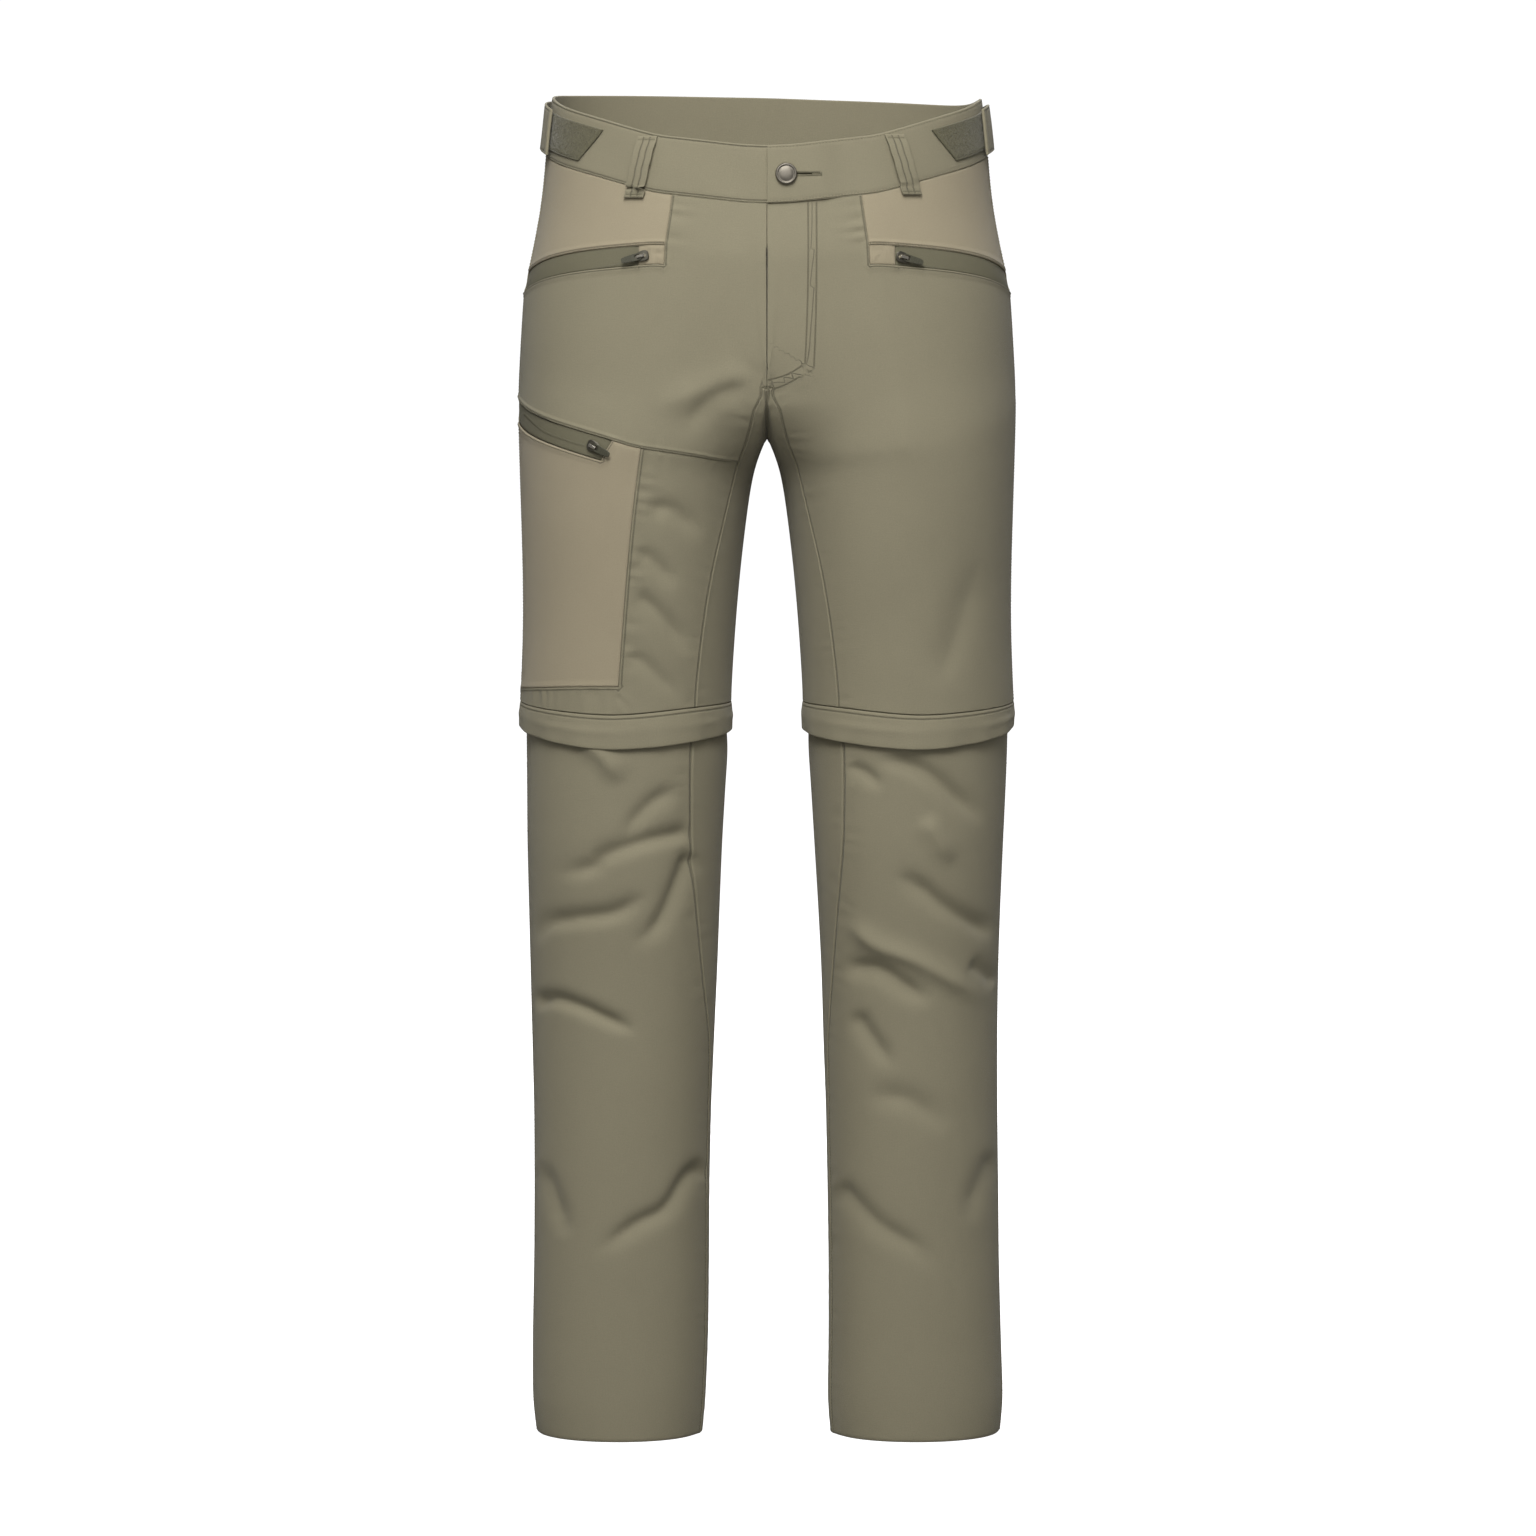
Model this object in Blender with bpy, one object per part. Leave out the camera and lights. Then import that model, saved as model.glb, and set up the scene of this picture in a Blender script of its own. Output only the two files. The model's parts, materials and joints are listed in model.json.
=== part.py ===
"""Zip-off hiking trousers, filled out as if worn, with no wearer.

Metres, +Z up. The front faces -Y and the wearer's right leg is at -X. The origin is the middle of the
waist, at the height where the waistband grips it. Tables are in millimetres, on the side where x is positive.

The cloth above the knee is one smooth form: a cage of rows (waist to knee) and columns (inner leg, round
the front, over the side seam and the back) is subdivided, and every panel is a block of its cells, made
into a wall.
"""

import math
from collections import namedtuple

import bmesh
import bpy
import numpy as np
from mathutils import Matrix, Vector
from mathutils.bvhtree import BVHTree

MM = 0.001

# Cloth walls
CLOTH = 1.6 * MM
BAND = 2.4 * MM
CUFF = 2.2 * MM
SEAM_GAP = 0.34 * MM
REST_GAP = 0.3 * MM

# Waistband
BAND_HEIGHT = 45 * MM
BAND_TAPER = 0.97
BAND_LIFT = 0.8 * MM
BACK_DROP = 3.5 * MM
BACK_TILT = 4.5 * MM
WAIST_HALF = 175 * MM
UNDERLAP = 36 * MM
OVERLAP_LIFT = 2.8 * MM
OVERLAP_FADE = 24 * MM

# Waist button and its hole
BUTTON_X = 15 * MM
BUTTON_Z = -27 * MM
BUTTON_R = 8.5 * MM
BUTTON_THICK = 2.4 * MM
SHANK_R = 2.4 * MM
SHANK_RISE = 3.7 * MM
HOLE_R = 3.1 * MM
SLIT_WIDTH = 1.2 * MM
SLIT_END_X = 42 * MM

# Belt loops
LOOP_WIDTH = 16.5 * MM
LOOP_THICK = 1.4 * MM
LOOP_BOW = 2.6 * MM
LOOP_REST = 0.5 * MM
LOOP_BELOW_BAND = 8 * MM

# Side adjusters
TAB_THICK = 1.8 * MM
PATCH_THICK = 1.2 * MM
PATCH_REST = 0.6 * MM

# Zips
ZIP_RECESS = 0.7 * MM
COIL_RISE = 0.8 * MM
SLIDER = (11.5 * MM, 8.4 * MM, 2.6 * MM)
BRIDGE = (6.0 * MM, 2.4 * MM, 0.9 * MM)
BRIDGE_GAP = 1.7 * MM
PULL = (16.5 * MM, 6.2 * MM, 1.0 * MM)
PULL_SLOT = 3.6 * MM

# Knee
CUFF_HEIGHT = 19 * MM
CUFF_DIP = 8 * MM
CUFF_INNER_DIP = 2.5 * MM
CUFF_FLARE = 1.2 * MM
LEG_ZIP_HEIGHT = 20 * MM
LEG_ZIP_TUCK = 5 * MM
LEG_ZIP_THICK = 1.5 * MM

# Columns of the body's cage, counted from the inner leg round the front
SEAM, MID, ZIP_END, SIDE, LAST = 2, 4, 5, 8, 14
BACK = LAST - SIDE

Heights = namedtuple("Heights", "name z_inner z_seam z_mid z_end z_side z_back z_rear bow")
# The height of each row at its columns. z_back and z_rear are at the back's middle and inner edge.
# bow bends the row between the zip's end and the side.
HEIGHTS = [
    Heights("waist_seam", -50, -49, -43, -40, -10.8, -7, -6, 0.85),
    Heights("yoke_middle", -72, -71, -63, -62, -55, -45, -42, 1.2),
    Heights("hand_zip_top", -92, -90, -83.6, -84, -108.6, -95, -84, 1.6),
    Heights("hand_zip_foot", -108, -105, -96, -97, -118.6, -110, -100, 1.6),
    Heights("hip", -148, -147, -138, -137, -146, -142, -132, 1),
    Heights("fly_foot", -196, -196, -186, -182, -173, -176, -165, 1),
    Heights("crotch_front", -216, -218, -206, -201, -184, -195, -200.5, 1),
    Heights("crotch_under", -230.6, -239, -225, -219, -195, -212, -226.5, 1),
    Heights("thigh_seam", -236, -254.5, -242, -237, -205, -225, -236, 0.85),
    Heights("cargo_zip_foot", -262, -270, -256, -250, -218.4, -245, -262, 0.85),
    Heights("thigh_high", -300, -300, -297, -295, -288, -292, -300, 1),
    Heights("thigh_middle", -345, -345, -343, -342, -340, -341, -345, 1),
    Heights("thigh_low", -392, -390, -388, -388, -390, -390, -392, 1),
    Heights("pocket_foot", -430, -430, -430.7, -431, -437.8, -434, -430, 1),
    Heights("cuff_seam", -445.5, -447, -452, -451, -445, -443, -445.5, 1),
]
Widths = namedtuple("Widths", "name x_inner x_seam x_mid x_end x_side front back split_inner split_outer")
# Where each row's columns lie across, and how far it reaches to the front and the back.
# split is 0 where both legs share one hip form, and 1 where each leg has its own.
WIDTHS = [
    Widths("waist_seam", 0, 22, 75, 95, 175.2, -108, 104, 0, 0),
    Widths("yoke_middle", 0, 21, 78, 97, 179.6, -112, 110, 0, 0),
    Widths("hand_zip_top", 0, 19, 81.4, 99, 190.5, -115, 117, 0, 0),
    Widths("hand_zip_foot", 0, 17, 82.2, 98, 193, -116, 121, 0, 0.05),
    Widths("hip", 0, 12, 86, 105, 195, -117, 128, 0, 0.25),
    Widths("fly_foot", 0, 6, 92, 112, 196.6, -115, 134, 0, 0.5),
    Widths("crotch_front", 0, 9, 95, 114, 197.2, -114, 134, 0.134, 0.65),
    Widths("crotch_under", 0, 15, 98.5, 116, 197.6, -112.5, 132, 0.5, 0.85),
    Widths("thigh_seam", 0, 22.5, 101.5, 118, 198, -111, 129, 1, 1),
    Widths("cargo_zip_foot", 10.5, 26, 102.5, 128, 198, -109.5, 124, 1, 1),
    Widths("thigh_high", 16.5, 33.4, 106.5, 140, 196, -106, 112, 1, 1),
    Widths("thigh_middle", 21.7, 44, 110.5, 143, 194.6, -100, 100, 1, 1),
    Widths("thigh_low", 25.6, 51, 114, 145, 194.5, -94.5, 93, 1, 1),
    Widths("pocket_foot", 28, 55.5, 117.4, 146, 196.4, -91, 89, 1, 1),
    Widths("cuff_seam", 28.5, 56.3, 118, 146.5, 196.8, -90, 88, 1, 1),
]
ROWS = [row.name for row in HEIGHTS]
WAIST, YOKE, HAND_TOP = (ROWS.index(name) for name in ("waist_seam", "yoke_middle", "hand_zip_top"))
FLY_FOOT, THIGH_SEAM = (ROWS.index(name) for name in ("fly_foot", "thigh_seam"))
POCKET_FOOT = ROWS.index("pocket_foot")

Shin = namedtuple("Shin", "z x_inner x_seam x_side front back")
LOWER = {
    "right": [
        Shin(-458, 33.5, 59.5, 191.8, -84.5, 82.5),
        Shin(-480, 31.4, 60, 191.6, -85.5, 82.5),
        Shin(-510, 33.1, 60.5, 191.4, -84.5, 81),
        Shin(-560, 36, 60, 191.2, -82, 80),
        Shin(-610, 38, 55.5, 190.2, -76, 82),
        Shin(-660, 39.8, 51, 189.2, -70.5, 85),
        Shin(-715, 42.4, 45.5, 188, -67, 86),
        Shin(-775, 45, 47, 186.6, -65, 82.5),
        Shin(-835, 46.3, 48.3, 186.4, -63, 77.5),
        Shin(-895, 46.6, 48.6, 186.8, -61.5, 74),
        Shin(-955, 47.3, 49.3, 188, -61, 71),
        Shin(-1008, 49.5, 51.5, 188, -61.5, 69.5),
        Shin(-1034.5, 52, 54, 185, -61, 68.5),
    ],
    "left": [
        Shin(-458, 33.5, 59.5, 192, -84.5, 82.5),
        Shin(-480, 33, 60.5, 191.6, -85.5, 82.5),
        Shin(-510, 35, 61, 190.6, -84.5, 81),
        Shin(-560, 38, 60, 188.4, -82, 80),
        Shin(-610, 41, 55.5, 186.4, -76, 82),
        Shin(-660, 43.6, 52, 185, -70.5, 85),
        Shin(-715, 45.2, 48.5, 184.4, -67, 86),
        Shin(-775, 47.4, 49.4, 184.6, -65, 82.5),
        Shin(-835, 48.6, 50.6, 185.4, -63, 77.5),
        Shin(-895, 49.5, 51.5, 186, -61.5, 74),
        Shin(-955, 49.6, 51.6, 187.6, -61, 71),
        Shin(-1008, 48.9, 50.9, 189.4, -61.5, 69.5),
        Shin(-1034.5, 51, 53, 187, -61, 68.5),
    ],
}
SHIN_SEAM, SHIN_SIDE, SHIN_LAST = 2, 6, 12
SHIN_ROWS = (-458, -484, -508, -532, -556, -580, -605, -634, -668, -715, -770, -825, -880, -950, -1034.5)



# Largest folds, as soft ridges (height above 0) and troughs, on the front or the back: a curve through three
# points (x, z), and how far it spreads to either side.
Fold = namedtuple("Fold", "view start middle end height spread")
FOLDS = [
    Fold("front", (-10, -186), (-50, -202), (-100, -218), 2.2, 14),
    Fold("front", (-16, -228), (-46, -226), (-92, -236), -2.4, 12),
    Fold("front", (-96, -292), (-70, -284), (-48, -316), -2.4, 11),
    Fold("front", (-104, -350), (-86, -372), (-62, -388), -2.6, 11),
    Fold("front", (-112, -398), (-95, -412), (-66, -434), -1.8, 10),
    Fold("front", (165, -318), (150, -352), (108, -366), -2.2, 14),
    Fold("front", (176, -330), (168, -380), (132, -436), 2.0, 16),
    Fold("front", (-60, -545), (-116, -556), (-172, -580), -4.0, 10),
    Fold("front", (-66, -512), (-100, -524), (-122, -552), -2.0, 9),
    Fold("front", (-184, -632), (-150, -606), (-92, -592), -4.2, 11),
    Fold("front", (-62, -562), (-78, -600), (-116, -634), -4.0, 10),
    Fold("front", (-186, -676), (-150, -676), (-104, -700), -4.4, 10),
    Fold("front", (-48, -808), (-78, -842), (-138, -884), -4.0, 12),
    Fold("front", (-182, -800), (-172, -838), (-157, -872), -3.0, 10),
    Fold("front", (-96, -750), (-118, -748), (-140, -760), -1.8, 13),
    Fold("front", (103, -486), (146, -512), (176, -548), -4.2, 11),
    Fold("front", (64, -493), (78, -500), (92, -514), -2.4, 8),
    Fold("front", (83, -490), (108, -518), (138, -556), 2.6, 10),
    Fold("front", (99, -576), (140, -596), (180, -626), -4.4, 12),
    Fold("front", (58, -616), (112, -646), (170, -690), 3.4, 10),
    Fold("front", (57, -650), (100, -650), (154, -698), -4.0, 11),
    Fold("front", (53, -678), (80, -690), (100, -736), -3.0, 10),
    Fold("front", (59, -830), (92, -850), (126, -882), -2.4, 15),
    Fold("front", (75, -766), (116, -752), (145, -790), -2.2, 14),
    Fold("back", (-170, -560), (-120, -578), (-60, -566), -3.6, 13),
    Fold("back", (-176, -620), (-124, -612), (-66, -630), -3.2, 12),
    Fold("back", (-160, -528), (-110, -536), (-64, -520), -2.6, 12),
    Fold("back", (-170, -812), (-120, -842), (-70, -850), -2.6, 14),
    Fold("back", (60, -562), (118, -574), (174, -556), -3.6, 13),
    Fold("back", (66, -624), (128, -610), (176, -630), -3.2, 12),
    Fold("back", (60, -526), (112, -538), (160, -524), -2.6, 12),
    Fold("back", (70, -840), (120, -834), (172, -806), -2.6, 14),
    Fold("back", (-24, -226), (-74, -262), (-146, -276), -1.8, 15),
    Fold("back", (24, -226), (74, -264), (148, -272), -1.8, 15),
]
FOLD_SAMPLES = 14

CLOTH_COLOUR = (0.245, 0.225, 0.155, 1)
STRETCH_COLOUR = (0.33, 0.285, 0.195, 1)
TAPE_COLOUR = (0.135, 0.125, 0.08, 1)
HOOK_COLOUR = (0.15, 0.14, 0.085, 1)
METAL_COLOUR = (0.32, 0.28, 0.22, 1)
SLIDER_COLOUR = (0.12, 0.11, 0.08, 1)
PULL_COLOUR = (0.06, 0.06, 0.035, 1)


# Scene, materials and objects


def clear_scene():
    for thing in list(bpy.data.objects):
        bpy.data.objects.remove(thing)


def material(name, colour, roughness, metallic=0.0):
    made = bpy.data.materials.new(name)
    made.use_nodes = True
    shader = made.node_tree.nodes["Principled BSDF"]
    shader.inputs["Base Color"].default_value = colour
    shader.inputs["Roughness"].default_value = roughness
    shader.inputs["Metallic"].default_value = metallic
    return made


def add_object(name, mesh, finish, smooth=True):
    thing = bpy.data.objects.new(name, mesh)
    bpy.context.scene.collection.objects.link(thing)
    mesh.materials.clear()
    mesh.materials.append(finish)
    if smooth:
        mesh.shade_smooth()
        mesh.set_sharp_from_angle(angle=math.radians(50))
    return thing


def mesh_of(name, points, faces):
    mesh = bpy.data.meshes.new(name)
    mesh.from_pydata([tuple(p) for p in points], [], [tuple(f) for f in faces])
    mesh.update()
    return mesh


# The smooth form


def oval(x, centre, half_width, half_depth, power):
    """Depth of an oval from its own middle line, at x across it."""
    across = np.clip(np.abs((x - centre) / half_width), 0, 1)
    return half_depth * (1 - across**power) ** (1 / power)


HIP_POWER = 2.2
LEG_POWER = 2.1


# How far the inner-leg seams are drawn together at their tops
SEAM_DRAW = 0.62
SEAM_DRAW_REACH = 40 * MM


def smoothstep(t):
    t = np.clip(t, 0, 1)
    return t * t * (3 - 2 * t)


def spaced(xs, ys, marks, counts):
    """Points on the curve (xs, ys) at the x values in marks, with equal steps along it between them."""
    length = np.concatenate([[0], np.cumsum(np.hypot(np.diff(xs), np.diff(ys)))])
    order = np.argsort(xs)
    at = [float(np.interp(m, xs[order], length[order])) for m in marks]
    steps = []
    for start, end, count in zip(at, at[1:], counts):
        steps += [start + (end - start) * i / count for i in range(count)]
    steps.append(at[-1])
    return np.interp(steps, length, xs), np.interp(steps, length, ys)


def ring_of(high, level):
    """The points of one row of the body's cage: the front from the inner edge to the side, then the back."""
    middle, depth = (level.front + level.back) / 2, (level.back - level.front) / 2
    t = (1 - np.cos(np.linspace(0, math.pi, 240))) / 2
    xs = level.x_inner + (level.x_side - level.x_inner) * t
    leg_middle, leg_half = (level.x_inner + level.x_side) / 2, (level.x_side - level.x_inner) / 2
    split = level.split_inner + (level.split_outer - level.split_inner) * smoothstep(xs / level.x_mid)
    hip = oval(xs, 0, level.x_side, depth, HIP_POWER)
    leg = oval(xs, leg_middle, leg_half, depth, LEG_POWER)
    reach = hip * (1 - split) + leg * split
    marks = (level.x_inner, level.x_seam, level.x_mid, level.x_end, level.x_side)
    front_x, front_y = spaced(xs, middle - reach, marks, (2, 2, 1, 3))
    back_x, back_y = spaced(xs[::-1], (middle + reach)[::-1], (level.x_side, level.x_inner), (BACK,))
    inner_z = (high.z_inner, high.z_seam, high.z_mid, high.z_end)
    front_z = np.interp(range(ZIP_END + 1), (0, SEAM, MID, ZIP_END), inner_z)
    to_side = np.linspace(0, 1, SIDE - ZIP_END + 1)[1:] ** high.bow
    side_z = high.z_end + (high.z_side - high.z_end) * to_side
    back_z = np.interp(range(BACK + 1), (0, BACK * 0.57, BACK), (high.z_side, high.z_back, high.z_rear))
    x, y = np.concatenate([front_x, back_x[1:]]), np.concatenate([front_y, back_y[1:]])
    return np.stack([x, y, np.concatenate([front_z, side_z, back_z[1:]])], axis=1) * MM


def waist_tilt(p):
    """At the back the waist sits lower on the wearer's left side."""
    return (BACK_DROP + BACK_TILT * p[0] / WAIST_HALF) * float(smoothstep((p[1] + 0.01) / 0.06))


def body_cage():
    """Points and cells of both sides of the body, and for each cell its side, row and column."""
    points, cells, places, ids = [], [], [], {}

    def vertex(side, row, column):
        below_crotch = row >= THIGH_SEAM
        if below_crotch and column == LAST:
            column = 0
        on_middle = column in (0, LAST) and row <= THIGH_SEAM
        key = ("middle" if on_middle else side, row, column)
        if key not in ids:
            ids[key] = len(points)
            p = rings[row][column] * (0 if on_middle else side, 1, 1)
            points.append(p - (0, 0, waist_tilt(p)) if row <= YOKE else p)
        return ids[key]

    rings = [ring_of(high, wide) for high, wide in zip(HEIGHTS, WIDTHS)]
    for side in (1, -1):
        for row in range(len(ROWS) - 1):
            for column in range(LAST):
                corners = [vertex(side, row + i, column + j) for i, j in ((0, 0), (1, 0), (1, 1), (0, 1))]
                cells.append(corners if side > 0 else corners[::-1])
                places.append((side, row, column))
    return np.array(points), cells, places


def shin_ring(level, drop):
    """One row of a lower leg's cage. drop(share) lowers the row's front."""
    middle, depth = (level.front + level.back) / 2, (level.back - level.front) / 2
    t = (1 - np.cos(np.linspace(0, math.pi, 240))) / 2
    xs = level.x_inner + (level.x_side - level.x_inner) * t
    centre, half = (level.x_inner + level.x_side) / 2, (level.x_side - level.x_inner) / 2
    reach = oval(xs, centre, half, depth, LEG_POWER)
    marks = (level.x_inner, level.x_seam, level.x_side)
    front_x, front_y = spaced(xs, middle - reach, marks, (SHIN_SEAM, SHIN_SIDE - SHIN_SEAM))
    back_count = SHIN_LAST - SHIN_SIDE
    back_x, back_y = spaced(xs[::-1], (middle + reach)[::-1], (level.x_side, level.x_inner), (back_count,))
    x, y = np.concatenate([front_x, back_x[1:]]), np.concatenate([front_y, back_y[1:]])
    return np.stack([x, y, level.z - drop * np.clip((middle - y) / depth, 0, 1)], axis=1) * MM


def rows_at(levels, heights):
    """The tabled rows of a lower leg, read off at the heights given."""
    table = np.array(levels)[::-1]
    return [Shin(z, *(float(np.interp(z, table[:, 0], column)) for column in table.T[1:])) for z in heights]


def shin_cage(name, side):
    points, cells, places = [], [], []
    rows = rows_at(LOWER[name], SHIN_ROWS)
    for level in rows:
        drop = 5 if level is rows[0] else 0
        points += [p * (side, 1, 1) for p in shin_ring(level, drop)[:SHIN_LAST]]
    for row in range(len(rows) - 1):
        for column in range(SHIN_LAST):
            corners = [
                (row + i) * SHIN_LAST + (column + j) % SHIN_LAST for i, j in ((0, 0), (1, 0), (1, 1), (0, 1))
            ]
            cells.append(corners if side > 0 else corners[::-1])
            places.append((side, row, column))
    return np.array(points), cells, places


def subdivided(points, cells, levels):
    """The cage's smooth surface: points, faces and the cage cell of each face."""
    mesh = mesh_of("cage", points, cells)
    helper = bpy.data.objects.new("cage", mesh)
    bpy.context.scene.collection.objects.link(helper)
    modifier = helper.modifiers.new("Subdivision", "SUBSURF")
    modifier.levels = modifier.render_levels = levels
    bpy.context.view_layer.update()
    smooth = helper.evaluated_get(bpy.context.evaluated_depsgraph_get()).to_mesh()
    found = np.array([v.co for v in smooth.vertices])
    faces = [tuple(f.vertices) for f in smooth.polygons]
    bpy.data.objects.remove(helper)
    per_cell = len(faces) // len(cells)
    return found, faces, [i // per_cell for i in range(len(faces))]


def smooth_form(points, cells, levels=1, rounds=1):
    """Moves the cage until its smooth surface passes through the tabled points, then subdivides it."""
    cage = points.copy()
    for _ in range(rounds):
        on_surface, _, _ = subdivided(cage, cells, 1)
        cage += points - on_surface[: len(points)]
    return subdivided(cage, cells, levels)


# Folds


def drawn_together(points):
    """The tops of the inner-leg seams run together under the fly."""
    front = 1 - smoothstep((points[:, 1] + 0.07) / 0.03)
    level = smoothstep((points[:, 2] + 0.214) / 0.016) * (1 - smoothstep((points[:, 2] + 0.19) / 0.03))
    near = 1 - smoothstep(np.abs(points[:, 0]) / SEAM_DRAW_REACH)
    drawn = points.copy()
    drawn[:, 0] *= 1 - SEAM_DRAW * front * level * near
    return drawn


def vertex_normals(points, faces):
    normals = np.zeros_like(points)
    quads = np.array(faces)
    p = points[quads]
    face_normals = np.cross(p[:, 2] - p[:, 0], p[:, 3] - p[:, 1])
    for corner in range(4):
        np.add.at(normals, quads[:, corner], face_normals)
    return normals / np.linalg.norm(normals, axis=1, keepdims=True)


def fold_height(points, normals, fold):
    """How far one fold moves each point along its normal."""
    t = np.linspace(0, 1, FOLD_SAMPLES)[:, None]
    start, middle, end = (np.array(p) * MM for p in (fold.start, fold.middle, fold.end))
    line = start * (1 - t) ** 2 + middle * 2 * t * (1 - t) + end * t**2
    flat = points[:, [0, 2]]
    apart = np.linalg.norm(flat[:, None, :] - line[None, :, :], axis=2)
    nearest = apart.argmin(axis=1)
    taper = np.sin(math.pi * np.clip(0.12 + 0.76 * nearest / (FOLD_SAMPLES - 1), 0, 1))
    facing = smoothstep((-normals[:, 1] if fold.view == "front" else normals[:, 1]) * 2.2)
    spread = fold.spread * MM
    return fold.height * MM * np.exp(-((apart.min(axis=1) / spread) ** 2)) * taper * facing


def folded(points, faces):
    """The form with its folds, and the normals of the folded form."""
    normals = vertex_normals(points, faces)
    moved = points + normals * sum(fold_height(points, normals, f) for f in FOLDS)[:, None]
    return moved, vertex_normals(moved, faces)


# Walls


def boundary_shift(points, normals, faces, gap):
    """How far each vertex on a panel's edge is pulled back into the panel, so that panels stay apart."""
    owners = {}
    for face in faces:
        for a, b in zip(face, face[1:] + face[:1]):
            owners.setdefault(frozenset((a, b)), []).append((a, b))
    inward = {}
    for used in owners.values():
        if len(used) == 1:
            a, b = used[0]
            for v in (a, b):
                out = np.cross(normals[v], points[b] - points[a])
                inward.setdefault(v, []).append(out / np.linalg.norm(out))
    shift = {}
    for v, sides in inward.items():
        total = sum(sides)
        reach = 1 + float(np.dot(sides[0], sides[-1])) if len(sides) > 1 else 2.0
        shift[v] = gap * total / max(reach, 0.7) * (0.5 if len(sides) == 1 else 1)
    return shift, [used[0] for used in owners.values() if len(used) == 1]


def wall(name, points, normals, faces, finish, thick=CLOTH, lift=0.0):
    """One panel as a closed wall. thick and lift are numbers, or functions of a point."""
    shift, edges = boundary_shift(points, normals, faces, SEAM_GAP / 2)
    used = sorted({v for face in faces for v in face})
    number = {v: i for i, v in enumerate(used)}
    outer, inner = [], []
    for v in used:
        p = points[v] + shift.get(v, 0)
        raised = lift(p) if callable(lift) else lift
        depth = thick(p) if callable(thick) else thick
        outer.append(p + normals[v] * raised)
        inner.append(p + normals[v] * (raised - depth))
    count = len(used)
    sides = [[number[v] for v in face] for face in faces]
    sides += [[number[v] + count for v in reversed(face)] for face in faces]
    sides += [[number[b], number[a], number[a] + count, number[b] + count] for a, b in edges]
    return add_object(name, mesh_of(name, outer + inner, sides), finish)


def slab(name, top, bottom, finish, closed=False):
    """A wall between two grids of points, given as rows of the same length. closed joins each row's ends."""
    rows, columns = len(top), len(top[0])
    points = [p for row in top for p in row] + [p for row in bottom for p in row]
    half = rows * columns
    faces = []
    for i in range(rows - 1):
        for j in range(columns if closed else columns - 1):
            a, b = i * columns + j, i * columns + (j + 1) % columns
            faces.append((a, b, b + columns, a + columns))
            faces.append((half + a + columns, half + b + columns, half + b, half + a))
    loop = [(j, (j + 1) % columns) for j in range(columns if closed else columns - 1)]
    last = (rows - 1) * columns
    faces += [(b, a, half + a, half + b) for a, b in loop]
    faces += [(last + a, last + b, half + last + b, half + last + a) for a, b in loop]
    if not closed:
        ends = [(i * columns, (i + 1) * columns) for i in range(rows - 1)]
        faces += [(a, b, half + b, half + a) for a, b in ends]
        far_ends = [(a + columns - 1, b + columns - 1) for a, b in ends]
        faces += [(b, a, half + a, half + b) for a, b in far_ends]
    mesh = mesh_of(name, points, faces)
    shape = bmesh.new()
    shape.from_mesh(mesh)
    bmesh.ops.recalc_face_normals(shape, faces=shape.faces)
    shape.to_mesh(mesh)
    shape.free()
    return add_object(name, mesh, finish)


# Body panels


def body_panel(side, row, column):
    """The name of the panel that a cell of the body's cage belongs to."""
    tag = "left" if side > 0 else "right"
    if column >= SIDE or (column < SEAM and row >= FLY_FOOT):
        return f"back_thigh_{tag}"
    if row < HAND_TOP and column >= MID:
        return f"hip_yoke_{tag}"
    if row == HAND_TOP and column >= ZIP_END:
        return f"hand_zip_tape_{tag}"
    if row == HAND_TOP and column == MID:
        return f"hand_zip_garage_{tag}"
    if side > 0 or row < THIGH_SEAM:
        return f"front_thigh_{tag}"
    if row == THIGH_SEAM and column >= ZIP_END:
        return "cargo_zip_tape"
    if column >= MID and row < POCKET_FOOT:
        return "cargo_pocket"
    return "front_lower_thigh_right"


def fly_lift(p):
    """The left front lies over the right one along the fly."""
    above = smoothstep((p[2] + 0.2) / 0.02)
    return 1.3 * MM * above * (1 - smoothstep((p[0] - 0.03) / 0.02))


def raised_coil(points, faces, normals, rows_on_edge):
    """Points of a zip's tape with the line along its middle raised, as the closed coil is."""
    raised = points.copy()
    for v in {v for face in faces for v in face} - rows_on_edge:
        raised[v] = points[v] + normals[v] * COIL_RISE
    return raised


def make_body(finishes):
    cage, cells, places = body_cage()
    points, faces, cell_of = smooth_form(cage, cells)
    points, normals = folded(drawn_together(points), faces)
    panels = {}
    for face, cell in zip(faces, cell_of):
        panels.setdefault(body_panel(*places[cell]), []).append(face)
    for name, own in sorted(panels.items()):
        if "zip_tape" in name:
            edge = set(boundary_shift(points, normals, own, 0)[0])
            coil = raised_coil(points, own, normals, edge)
            wall(name, coil, normals, own, finishes["tape"], lift=-ZIP_RECESS, thick=1.2 * MM)
        elif "yoke" in name or "cargo" in name or "garage" in name:
            wall(name, points, normals, own, finishes["stretch"])
        elif name == "front_thigh_left":
            wall(name, points, normals, own, finishes["cloth"], lift=fly_lift)
        else:
            wall(name, points, normals, own, finishes["cloth"])
    return points, faces


def border(faces, points, top):
    """The closed loops of a form's open edges whose middle is above (top) or below z = -0.2, in order."""
    following = {}
    seen = {(a, b) for face in faces for a, b in zip(face, face[1:] + face[:1])}
    for a, b in seen:
        if (b, a) not in seen:
            following[a] = b
    loops = []
    while following:
        start, v = next(iter(following.items()))
        loop = [start]
        del following[start]
        while v != start:
            loop.append(v)
            v = following.pop(v)
        loops.append(loop)
    return [loop for loop in loops if (np.mean(points[loop][:, 2]) > -0.2) == top]


# Waistband


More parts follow.
